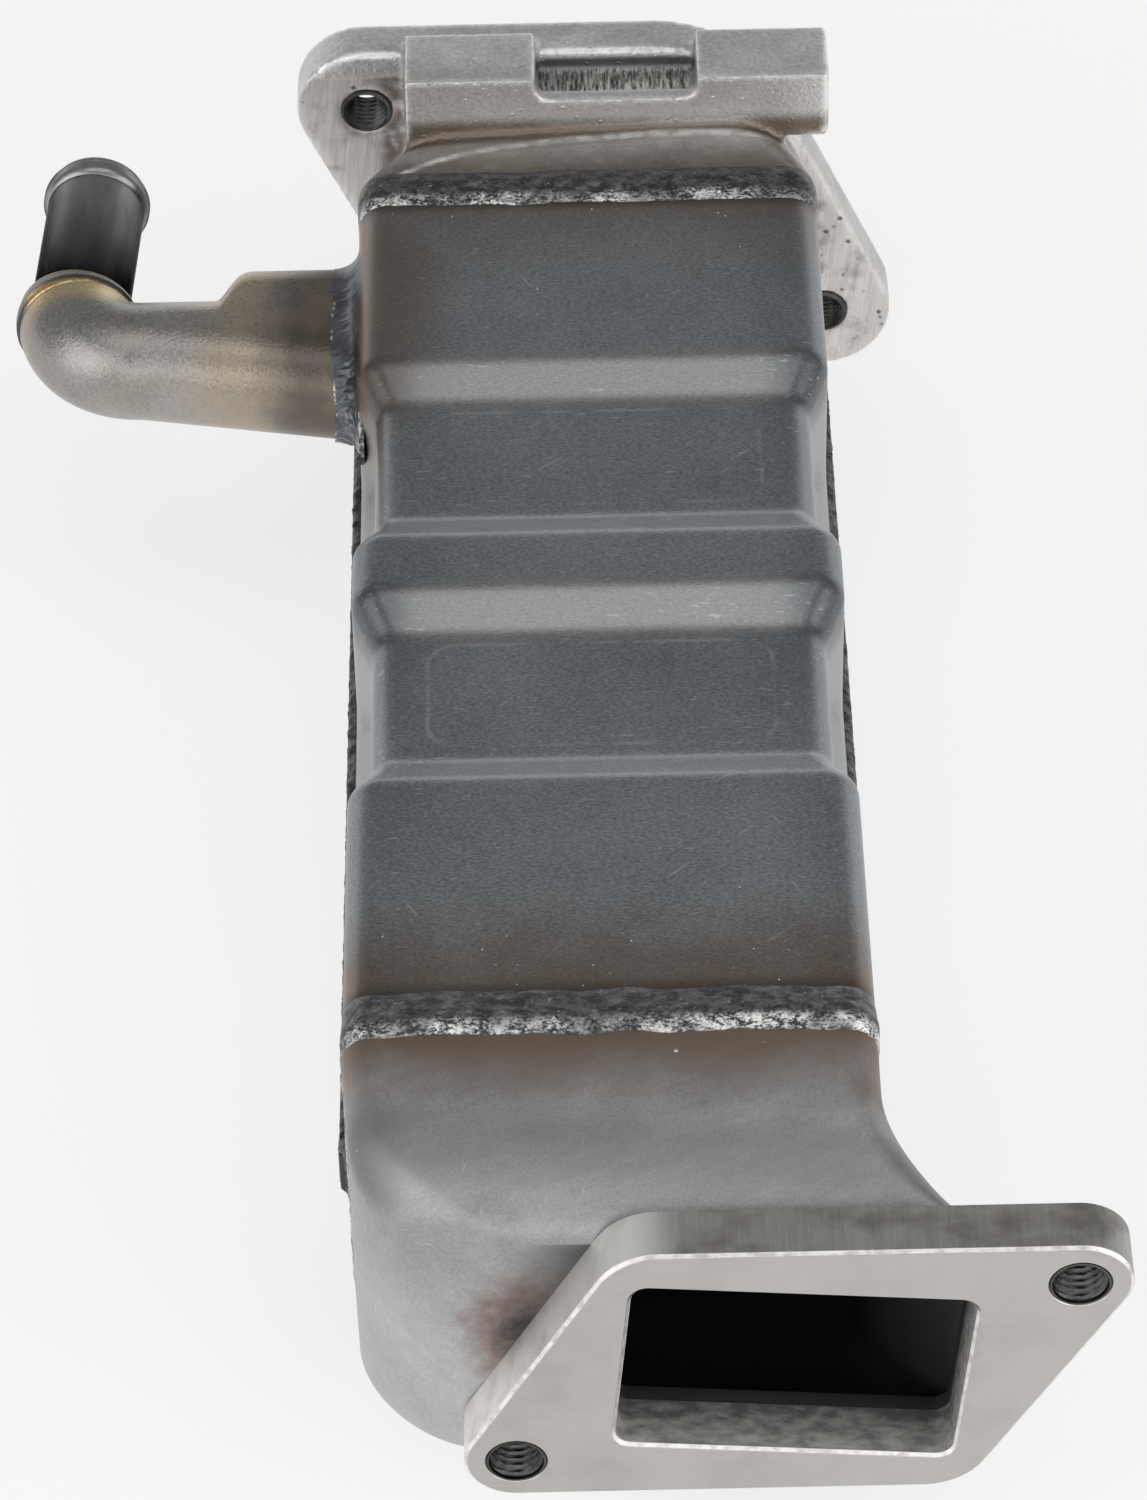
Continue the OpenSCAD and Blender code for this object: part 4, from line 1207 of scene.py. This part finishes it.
@dataclass(frozen=True)
class PanFinish:
    """Satin formed steel browned below the weld, burnt beside the flange and sooty inside; painted light and
    shade.
    """

    dark: Colour = (0.299, 0.300, 0.308)
    pale: Colour = (0.639, 0.636, 0.632)
    brown: Colour = (0.201, 0.131, 0.078)
    # colour of the painted shade band on the nose roll
    rolled: Colour = (0.19, 0.195, 0.205)
    # colour of the painted shade on the nose's left corner
    turned: Colour = (0.165, 0.168, 0.175)
    bared: Colour = (0.694, 0.694, 0.694)
    burnt: Colour = (0.222, 0.146, 0.111)
    charred: Colour = (0.049, 0.046, 0.050)
    soot: Colour = (0.048, 0.046, 0.044)
    # soot colour, darkened as painted shade further in
    soot_in_painted_shade: Colour = (0.017, 0.017, 0.017)

    def make(self) -> Material:
        """Build the material."""
        p = Paint("satin_pan")
        cloud = p.noise(0.06)
        grain = p.noise(2.4, 2.0)
        # Painted reflection: paler low down, darker towards the top
        low = p.z.fade(-6.0, 17.0)
        streak = p.noise(0.5, 3.0, (0.25, 1.0, 1.0), (0.0, 0.0, 0.4))
        tone = (cloud - 0.5) * 0.6 + (grain - 0.5) * 0.7 + (streak - 0.5) * 0.35 + 0.26 + low * 0.34
        # Painted shade: a darker band across the top where it rolls down into the front
        arc = (p.y + p.x * 0.06).near(17.5, 1.5, 8.0) * p.z.step(16.0, 21.0)
        p.base(self.dark, self.pale, tone - arc * 0.16)
        p.lay(self.rolled, arc * 0.30)
        # Painted shade over the lamp's highlight on the left corner of the nose
        bend = p.ball((-59.0, 23.0, 23.0), (8.0, 13.0, 8.0)).fade(0.3, 1.0)
        p.lay(self.turned, bend * 0.4)
        p.lay(self.bared, p.scratches(0.9) * 0.35)
        heat = (p.y + p.noise(0.09) * 12.0).step(30.0, 47.0)
        flank = p.ball((20.0, 34.0, 18.0), (15.0, 17.0, 20.0)) + (p.noise(0.12) - 0.5) * 0.8
        p.lay(self.brown, heat.most(flank.fade(0.5, 1.1) * 0.75) * 0.80)
        burn = p.ball((-37.0, 9.0, 0.5), (11.0, 9.0, 14.5)) + (p.noise(0.35) - 0.5) * 0.7
        p.lay(self.burnt, burn.fade(0.5, 1.1) * 0.75)
        p.lay(self.charred, burn.fade(0.1, 0.65) * 0.9)
        inside = p.zone()
        hollow = inside.step(0.0, 0.5)
        # Soot inside, with painted shade that darkens it further in
        p.lay(p.mix(self.soot, self.soot_in_painted_shade, p.y.step(9.0, 13.0)), hollow)
        rough = 0.54 + (cloud - 0.5) * 0.16 + (grain - 0.5) * 0.14 + inside * 0.2
        height = grain * 0.5 + p.noise(8.0, 1.0) * 0.3
        return p.done(rough, height, 0.03, 1.0 - hollow * 0.6)


@dataclass(frozen=True)
class PlateFinish:
    """Ground plate face, sawn sides, ragged chamfer and a dirty window, with painted light and shade."""

    face: Colour = (0.530, 0.512, 0.493)
    worn: Colour = (0.432, 0.415, 0.397)
    sawn: Colour = (0.375, 0.361, 0.343)
    sawn_pale: Colour = (0.542, 0.526, 0.503)
    stained: Colour = (0.140, 0.130, 0.121)
    # colour of the painted reflection on the left sides
    left_side_highlight: Colour = (0.90, 0.88, 0.855)
    # colour of the chamfer, ground metal with a painted highlight
    bright: Colour = (0.861, 0.847, 0.819)
    dirt: Colour = (0.165, 0.161, 0.153)
    bared: Colour = (0.560, 0.545, 0.525)

    def make(self) -> Material:
        """Build the material."""
        p = Paint("ground_plate")
        zone = p.zone()
        edge = zone.step(0.85, 1.0)
        cloud = p.noise(0.07, 4.0)
        brush = p.noise(1.1, 2.0, (0.12, 1.0, 2.2))
        wear = cloud.step(0.4, 0.75) * 0.6 + (brush - 0.5) * 0.7 + p.x.fade(-42.0, -8.0) * 0.3
        face = p.mix(self.face, self.worn, wear)
        saw = p.noise(1.0, 2.0, (1.5, 0.12, 1.5))
        side = p.mix(self.sawn, self.sawn_pale, saw.step(0.25, 0.8) * 0.45 + (cloud - 0.5) * 0.9)
        stain = p.noise(0.2, 4.0, (0.4, 0.6, 1.0)).step(0.40, 0.70)
        side = p.mix(side, self.stained, stain * 0.62)
        # Painted reflection: the sawn sides on the left are laid far paler
        left = p.x.fade(-24.0, -15.0)
        side = p.mix(side, self.left_side_highlight, left * (1.0 - 0.3 * stain))
        # Ragged chamfer: ground metal with a painted highlight along it
        chamfer = zone.step(0.05, 0.25) * zone.fade(0.8, 0.98)
        ragged = p.noise(0.5).step(0.35, 0.6)
        p.base(face, side, edge)
        p.lay(self.bright, chamfer * (0.25 + 0.75 * ragged))
        window = p.box((-26.0, 0.5, -20.0), (26.0, 9.5, 20.0)) * edge
        # Painted shade: the dirty window gets darker further in
        depth_shade = p.y.step(0.5, 9.5) * 0.75
        mottle = p.noise(0.6, 5.0, (0.5, 1.0, 1.0)).step(0.2, 0.8) - depth_shade + 0.25
        p.lay(p.mix(self.dirt, self.bared, mottle), window)
        rough = 0.33 + (cloud - 0.5) * 0.12 + edge * (0.1 + left * 0.12) + window * 0.2
        height = brush * 0.4 * (1.0 - edge) + saw * edge
        return p.done(rough, height, 0.04, 1.0 - window * 0.55)


@dataclass(frozen=True)
class CastFinish:
    """Matt cast skin with fine pimples, browned beside the weld, ground and stained on the flange faces."""

    dark: Colour = (0.355, 0.352, 0.347)
    pale: Colour = (0.715, 0.708, 0.700)
    brown: Colour = (0.190, 0.128, 0.082)
    scorched: Colour = (0.055, 0.042, 0.034)
    # colour of the painted shade under the bar
    fillet: Colour = (0.200, 0.158, 0.125)
    lit_bar_front: Colour = (0.80, 0.785, 0.765)
    rubbed_edge_glint: Colour = (0.95, 0.945, 0.935)
    crest_highlight: Colour = (0.95, 0.935, 0.915)
    crest_at: tuple[float, float] = (-13.0, 253.75)
    crest_half: float = 41.6
    slot_dark: Colour = (0.060, 0.058, 0.056)
    slot_pale: Colour = (0.861, 0.847, 0.819)
    slot_wall_shade: Colour = (0.083, 0.081, 0.078)
    ground_dark: Colour = (0.540, 0.512, 0.491)
    ground_pale: Colour = (0.690, 0.667, 0.649)
    stained: Colour = (0.180, 0.143, 0.120)
    pitted: Colour = (0.097, 0.083, 0.076)

    def neck(self, p: Paint) -> None:
        """Brown neck, scorched beside the weld, with painted shade in the fillet under the bar."""
        heat = (p.y + p.noise(0.1) * 12.0).fade(247.0, 268.0)
        p.lay(self.brown, heat * 0.68)
        scorch = (p.y + p.noise(0.2, 2.0) * 5.0).fade(246.0, 254.0)
        p.lay(self.scorched, scorch * 0.5)
        # Painted shade, brown-tinted, in the fillet under the bar
        p.lay(self.fillet, p.box((-60.0, 253.5, 18.0), (24.0, 258.0, 29.0), 1.5) * 0.95)

    def bow(self, p: Paint) -> Signal:
        """Painted highlight along the ridge that bows over the neck and falls away to its left end."""
        sweep = abs(p.x - self.crest_at[0]) / self.crest_half
        line = (p.y + sweep ** 2.0 * 4.67 + sweep ** 6.0 * 4.25).near(self.crest_at[1], 0.2, 1.5)
        line = line * p.z.step(20.0, 24.0) * p.x.fade(2.0, 9.0)
        return line * (0.3 + 0.5 * p.noise(0.3, 2.0).step(0.35, 0.6))

    def slot(self, p: Paint) -> None:
        """Streaked floor of the slot, with painted shade darker to its back and left, and painted shade on
        its rear wall.
        """
        floor = p.box((-33.0, 259.4, 30.4), (-6.4, 267.6, 31.9), 0.3)
        wall = p.box((-33.6, 266.6, 31.4), (-5.8, 268.8, 33.4), 0.5)
        streak = p.noise(1.5, 3.0, (1.6, 0.22, 1.0)).step(0.30, 0.75)
        shade = (p.x.step(-34.0, -24.0) * 0.5 + 0.5) * (1.7 - p.y.step(260.5, 267.0))
        p.lay(p.mix(self.slot_dark, self.slot_pale, streak * shade), floor)
        # Painted shade on the slot's rear wall
        p.lay(self.slot_wall_shade, wall * 0.9)

    def make(self) -> Material:
        """Build the material."""
        p = Paint("cast_grey")
        cloud = p.noise(0.08)
        grain = p.noise(1.3)
        p.base(self.dark, self.pale, cloud.step(0.3, 0.7) * 0.4 + (grain - 0.5) * 1.2 + 0.35)
        self.neck(p)
        # Painted highlight: the bar's front face is laid paler
        front = p.box((-56.5, 255.4, 29.5), (17.5, 256.8, 38.0), 1.5)
        p.lay(self.lit_bar_front, front * ((grain - 0.5) * 1.2 + 0.7))
        # Wear on the cast edges, with a painted highlight along them
        worn = p.zone("edge") * (0.25 + 0.5 * p.noise(0.5, 2.0).step(0.35, 0.6))
        p.lay(self.rubbed_edge_glint, worn)
        # Painted highlight along the neck's ridge
        p.lay(self.crest_highlight, self.bow(p))
        self.slot(p)
        ground = p.zone()
        behind = p.y.step(270.0, 275.0)
        brush = p.noise(0.7, 3.0, (2.4, 1.0, 0.14), (0.0, 0.12, 0.0))
        face = p.mix(self.ground_dark, self.ground_pale, brush.step(0.25, 0.75))
        stain = p.noise(0.16, 4.0).step(0.50, 0.70) * (1.0 - behind * 0.75)
        # Seeping stain at the left ear by the bar, with painted shade in the gap between them
        seep_and_gap_shade = p.box((-60.5, 262.0, -4.0), (-52.0, 272.0, 36.0), 1.5) * p.noise(0.4).step(0.25, 0.55)
        face = p.mix(face, self.stained, (stain * 0.55).most(seep_and_gap_shade * 0.85))
        pits = p.cells(0.42).fade(0.12, 0.26) * p.noise(0.11).step(0.49, 0.58) * (1.0 - behind * 0.8)
        face = p.mix(face, self.pitted, pits * 0.85)
        p.lay(face, ground)
        pimples = p.cells(0.6).fade(0.05, 0.25) * p.noise(0.3, 1.0).step(0.42, 0.55)
        height = (grain * 0.7 + pimples * 0.6) * (1.0 - ground) + (brush * 0.2 - pits * 0.6) * ground
        rough = 0.43 + (grain - 0.5) * 0.2 + (cloud - 0.5) * 0.1
        return p.done(rough, height, 0.22, 0.78 + ground * 0.2)


@dataclass(frozen=True)
class ElbowFinish:
    """Satin steel with gold and brown heat tints at the base and at the mouth."""

    dark: Colour = (0.230, 0.222, 0.210)
    pale: Colour = (0.440, 0.424, 0.404)
    gold: Colour = (0.440, 0.350, 0.235)
    brown: Colour = (0.122, 0.097, 0.078)
    pitted: Colour = (0.069, 0.062, 0.056)
    crescent: Colour = (0.640, 0.490, 0.270)
    band: Colour = (0.556, 0.417, 0.215)
    rim: Colour = (0.062, 0.062, 0.067)

    def make(self) -> Material:
        """Build the material."""
        p = Paint("tinted_elbow")
        grain = p.noise(1.9)
        cloud = p.noise(0.07)
        p.base(self.dark, self.pale, cloud.step(0.3, 0.7) * 0.4 + (grain - 0.5) * 1.5 + 0.28)
        along = p.x + p.noise(0.16) * 7.0
        warm = along.step(-92.0, -79.0) * along.fade(-78.0, -70.0)
        p.lay(self.gold, warm * (0.25 + 0.5 * grain.step(0.4, 0.6)))
        p.lay(self.brown, along.step(-80.0, -69.0) * 0.88)
        pits = p.cells(0.35).fade(0.04, 0.10) * p.noise(0.2, 1.0).step(0.45, 0.55)
        p.lay(self.pitted, pits * 0.18)
        p.lay(self.gold, p.noise(0.09, 2.0).step(0.45, 0.68) * 0.2)
        crescent = p.y.step(218.5, 223.0) * p.x.step(-121.0, -117.0) * p.x.fade(-104.0, -98.0)
        p.lay(self.crescent, crescent * 0.8)
        collar = p.zone()
        rim = p.y.step(224.4, 225.6).most(p.x.fade(-120.6, -118.0))
        p.lay(p.mix(self.band, self.rim, rim), collar * 0.92)
        return p.done(0.32 + (grain - 0.5) * 0.3 - collar * 0.04, grain, 0.085)


@dataclass(frozen=True)
class TubeFinish:
    """Dark drawn tube with fine lengthwise draw lines, paler on the bead."""

    dark: Colour = (0.004, 0.0043, 0.0048)
    streak: Colour = (0.020, 0.021, 0.023)
    bead: Colour = (0.480, 0.474, 0.466)
    glancing: Colour = (0.18, 0.19, 0.21)

    def make(self) -> Material:
        """Build the material."""
        p = Paint("dark_tube")
        bead = p.zone()
        draw = p.noise(1.2, 3.0, (1.4, 0.07, 1.4))
        stain = p.noise(0.13, 3.0, (1.5, 0.5, 1.5))
        p.base(self.dark, self.streak, draw.step(0.35, 0.8) * 0.6 + stain.step(0.5, 0.75) * 0.35)
        p.lay(self.bead, bead * (0.65 + 0.6 * (stain - 0.5)))
        p.shader.inputs["Specular Tint"].default_value = (*self.glancing, 1.0)
        return p.done(0.38 + (draw - 0.5) * 0.22 - bead * 0.08, draw, 0.02)


@dataclass(frozen=True)
class WeldFinish:
    """Dark scaled bead with painted glints on its grit along one flank."""

    name: str = "scaled_bead"
    scale: Colour = (0.062, 0.063, 0.067)
    # colour of the painted glints
    bright: Colour = (0.900, 0.888, 0.868)
    flank: float = 1.0
    crust: Colour = (0.240, 0.236, 0.232)

    def make(self) -> Material:
        """Build the material."""
        p = Paint(self.name)
        grit = p.noise(2.6, 4.0, (0.6, 1.0, 1.0))
        lump = p.noise(0.55, 3.0, (0.7, 1.0, 1.0))
        across = p.zone()
        side = across if self.flank > 0 else 1.0 - across
        # Painted glints: the grit along one flank is laid bright, fully at one spot on the front bead
        notch = p.ball((-4.1, 42.7, 28.5), (6.5, 3.0, 4.0)).fade(0.5, 1.0)
        patches = (0.3 + 0.7 * p.noise(0.1, 2.0).step(0.4, 0.6)).most(notch)
        lit = side.step(0.66, 0.84) * side.fade(0.96, 1.0)
        lit = lit * (grit * 0.65 + lump * 0.35).step(0.43, 0.58) * patches
        crumbs = p.noise(1.1, 2.0).step(0.62, 0.72) * 0.22
        p.base(self.scale, self.crust, (grit - 0.5) * 1.6 + (lump - 0.5) * 2.6 + 0.28)
        p.lay(self.bright, lit.most(crumbs))
        rough = 0.40 - lit * 0.1 + (grit - 0.5) * 0.3
        return p.done(rough, grit * 0.6 + p.noise(4.0, 2.0) * 0.4, 0.17)


@dataclass(frozen=True)
class FlowFinish:
    """Smooth dark weld that has flowed, with silver grit and painted glints along its upper edge and in its
    tail.
    """

    slate: Colour = (0.086, 0.093, 0.107)
    slate_pale: Colour = (0.146, 0.150, 0.160)
    silver: Colour = (0.694, 0.694, 0.681)

    def make(self) -> Material:
        """Build the material."""
        p = Paint("flowed_bead")
        cloud = p.noise(0.25)
        grit = p.noise(1.3)
        # Silver grit with painted glints along the upper edge and in runs in the tail
        lip = p.zone().step(0.93, 0.98) * p.noise(0.2, 2.0).step(0.45, 0.6)
        tail = (p.y + cloud * 6.0).fade(197.0, 203.0)
        run = p.noise(0.9, 2.0, (1.4, 0.35, 1.0)).step(0.48, 0.62)
        lit = (lip * grit.step(0.46, 0.6)).most(tail * run * 0.7)
        p.base(self.slate, self.slate_pale, cloud.step(0.35, 0.7))
        p.lay(self.silver, lit * 0.85)
        rough = 0.36 + (grit - 0.5) * 0.2 - lit * 0.08
        return p.done(rough, cloud * 0.5 + grit * lit, 0.12)


@dataclass(frozen=True)
class PlainFinish:
    """Plain grained steel for small and hidden pieces."""

    name: str
    low: Colour
    high: Colour
    rough: float = 0.4

    def make(self) -> Material:
        """Build the material."""
        p = Paint(self.name)
        grain = p.noise(1.8)
        cloud = p.noise(0.11)
        p.base(self.low, self.high, cloud.step(0.3, 0.7) * 0.6 + (grain - 0.5) * 0.7 + 0.2)
        return p.done(self.rough + (grain - 0.5) * 0.25, grain, 0.04)


@dataclass
class Studio:
    """Pale floor, soft lamps and the camera.

    A lamp has its place, the point that it faces, its size in metres and its power.
    """

    floor_z: float = -35.1
    floor_r: float = 6000.0
    target: Colour = (-29.3, 130.0, 0.0)
    place_of: Colour = (-29.3, -525.5, 611.3)
    roll: float = -1.2
    lens: float = 136.4
    ambient: float = 0.33
    white_seen: float = 0.72
    white_mirrored: float = 0.85
    lamps: dict[str, tuple[Colour, Colour, tuple[float, float], float]] = field(default_factory=lambda: {
        "overhead": ((0.0, 60.0, 900.0), (-25.0, 140.0, 0.0), (0.9, 0.55), 1.5),
        "front": ((0.0, -900.0, 420.0), (-25.0, 120.0, 0.0), (1.1, 0.6), 2.6),
        "left": ((-850.0, -350.0, 420.0), (-25.0, 120.0, 0.0), (0.8, 0.9), 3.6),
        "right": ((800.0, -350.0, 420.0), (-25.0, 120.0, 0.0), (0.8, 0.9), 3.9),
        "rear": ((-25.0, 1500.0, 210.0), (-25.0, 140.0, 20.0), (4.2, 0.52), 5.4),
    })

    def floor(self) -> Piece:
        """Large pale disc under the part, which the camera and the metal see as white."""
        t = circle(64)[None]
        r = np.array([[0.0], [self.floor_r]])
        disc = stack(r * np.cos(t), r * np.sin(t), self.floor_z)
        piece = Form().grid(disc, cols=True).build("studio_floor")
        paint = Paint("pale_floor")
        paint.base((0.95, 0.95, 0.95), (0.97, 0.97, 0.97), paint.noise(0.002, 1.0))
        piece.data.materials.append(paint.done(0.9, metal=0.0))
        rays = paint.add("ShaderNodeLightPath").outputs
        mirrored = Signal(paint, rays["Is Glossy Ray"]).most(Signal(paint, rays["Is Transmission Ray"]))
        seen = Signal(paint, rays["Is Camera Ray"]) * self.white_seen
        white = seen.most(mirrored * self.white_mirrored)
        glow = paint.add("ShaderNodeEmission", {}, {"Color": (1.0, 1.0, 1.0, 1.0), "Strength": 1.0})
        paint.cover(Signal(paint, glow.outputs["Emission"]), white)
        return piece

    def light(self) -> None:
        """Soft lamps and an even ambient light."""
        world = bpy.data.worlds.new("studio")
        world.use_nodes = True
        ground = world.node_tree.nodes["Background"]
        ground.inputs["Color"].default_value = (1.0, 1.0, 1.0, 1.0)
        ground.inputs["Strength"].default_value = self.ambient
        bpy.context.scene.world = world
        for name, (spot, aim, size, power) in self.lamps.items():
            lamp = bpy.data.lights.new(name, "AREA")
            lamp.shape = "RECTANGLE"
            lamp.size, lamp.size_y = size
            lamp.energy = power
            holder = bpy.data.objects.new(name, lamp)
            at = Vector(spot) * MM
            look = (Vector(aim) * MM - at).to_track_quat("-Z", "Y").to_matrix().to_4x4()
            holder.matrix_world = Matrix.Translation(at) @ look
            bpy.context.scene.collection.objects.link(holder)

    def camera(self) -> None:
        """Camera at the photograph's place."""
        data = bpy.data.cameras.new("view")
        data.sensor_width = 36.0
        data.lens = self.lens
        data.clip_start = 0.01
        holder = bpy.data.objects.new("view", data)
        at, aim = Vector(self.place_of) * MM, Vector(self.target) * MM
        look = (aim - at).to_track_quat("-Z", "Y").to_matrix().to_4x4()
        roll = Matrix.Rotation(math.radians(self.roll), 4, "Z")
        holder.matrix_world = Matrix.Translation(at) @ look @ roll
        bpy.context.scene.collection.objects.link(holder)
        bpy.context.scene.camera = holder


def coat(piece: Piece, finish: Material) -> None:
    """Make a finish the only material of a piece."""
    piece.data.materials.clear()
    piece.data.materials.append(finish)


def dress(piece: Piece, finish: Material, slot: str, *nodes: str) -> None:
    """Give a piece its finish and fix it to the part.

    Args:
        piece: the piece.
        finish: its material.
        slot: not used.
        nodes: CAD nodes that the piece stands for.
    """
    coat(piece, finish)
    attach(piece, "root")
    if nodes:
        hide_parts(*nodes)
    log.info("%s: %d faces", piece.name, len(piece.data.polygons))


def main() -> None:
    """Build every piece, dress it and set up the studio."""
    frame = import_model()
    nodes: dict[str, Piece] = frame["nodes"]
    studio = Studio()
    studio.camera()
    studio.light()
    studio.floor()
    housing = Housing()
    manifold = Manifold(housing)
    elbow = Elbow(housing)
    sheet = SheetFinish(housing).make()
    weld = WeldFinish().make()
    seam = WeldFinish("seam_bead", (0.039, 0.039, 0.042), (0.306, 0.306, 0.306)).make()
    rear_weld = WeldFinish("rear_bead", flank=-1.0).make()
    # The threads are painted dark as the shade inside the tapped holes
    thread = PlainFinish("shaded_thread_steel", (0.030, 0.030, 0.030), (0.150, 0.147, 0.144), 0.32).make()
    core = PlainFinish("core_steel", (0.042, 0.042, 0.042), (0.139, 0.136, 0.132), 0.5).make()
    turned = PlainFinish("turned_steel", (0.458, 0.451, 0.438), (0.694, 0.681, 0.667), 0.3).make()
    braze = PlainFinish("braze_ring", (0.069, 0.062, 0.056), (0.222, 0.167, 0.104), 0.38).make()
    dress(Shell(housing, Half.UPPER).build(), sheet, "shell_steel", "upper_shell")
    lower = bore(Shell(housing, Half.LOWER).build(), INLET_SPOT, INLET_R, INLET_CUT)
    dress(lower, sheet, "shell_steel", "lower_shell")
    dress(manifold.build(), PanFinish().make(), "formed_steel", "front_manifold")
    dress(Flange(manifold).build(), PlateFinish().make(), "flange_steel", "front_flange")
    dress(Casting(nodes["rear_casting"]).build(), CastFinish().make(), "cast_steel", "rear_casting")
    dress(elbow.build(), ElbowFinish().make(), "elbow_steel", "coolant_elbow")
    dress(HoseTube(elbow).build(), TubeFinish().make(), "tube_steel", "hose_tube")
    for bead, finish, node in (
            (EndWeld(housing, "front_end_bead", 0.0, 1.0, 11), weld, "front_end_weld"),
            (EndWeld(housing, "rear_end_bead", housing.length, -1.0, 23), rear_weld, "rear_end_weld"),
            (SeamWeld(housing, "left_seam_bead", -1.0, 41), seam, "left_seam_weld"),
            (SeamWeld(housing, "right_seam_bead", 1.0, 57), seam, "right_seam_weld"),
            (ElbowWeld(elbow), FlowFinish().make(), "elbow_weld")):
        dress(bead.build(), finish, "weld_metal", node)
    dress(Spatter(housing).build(), turned, "weld_metal")
    for name, (spot, length, lead) in THREADS.items():
        dress(Thread(name, spot, length, lead).build(), thread, "flange_steel")
    for name, node in nodes.items():
        if name.startswith(("gas_", "front_header", "rear_header")):
            coat(node, core)
    for name, finish in (("inlet_boss", turned), ("inlet_boss_weld", seam), ("hose_tube_braze", braze)):
        coat(nodes[name], finish)
    bpy.context.scene.view_settings.view_transform = "Standard"


if __name__ == "__main__":
    logging.basicConfig(level=logging.INFO)
    main()
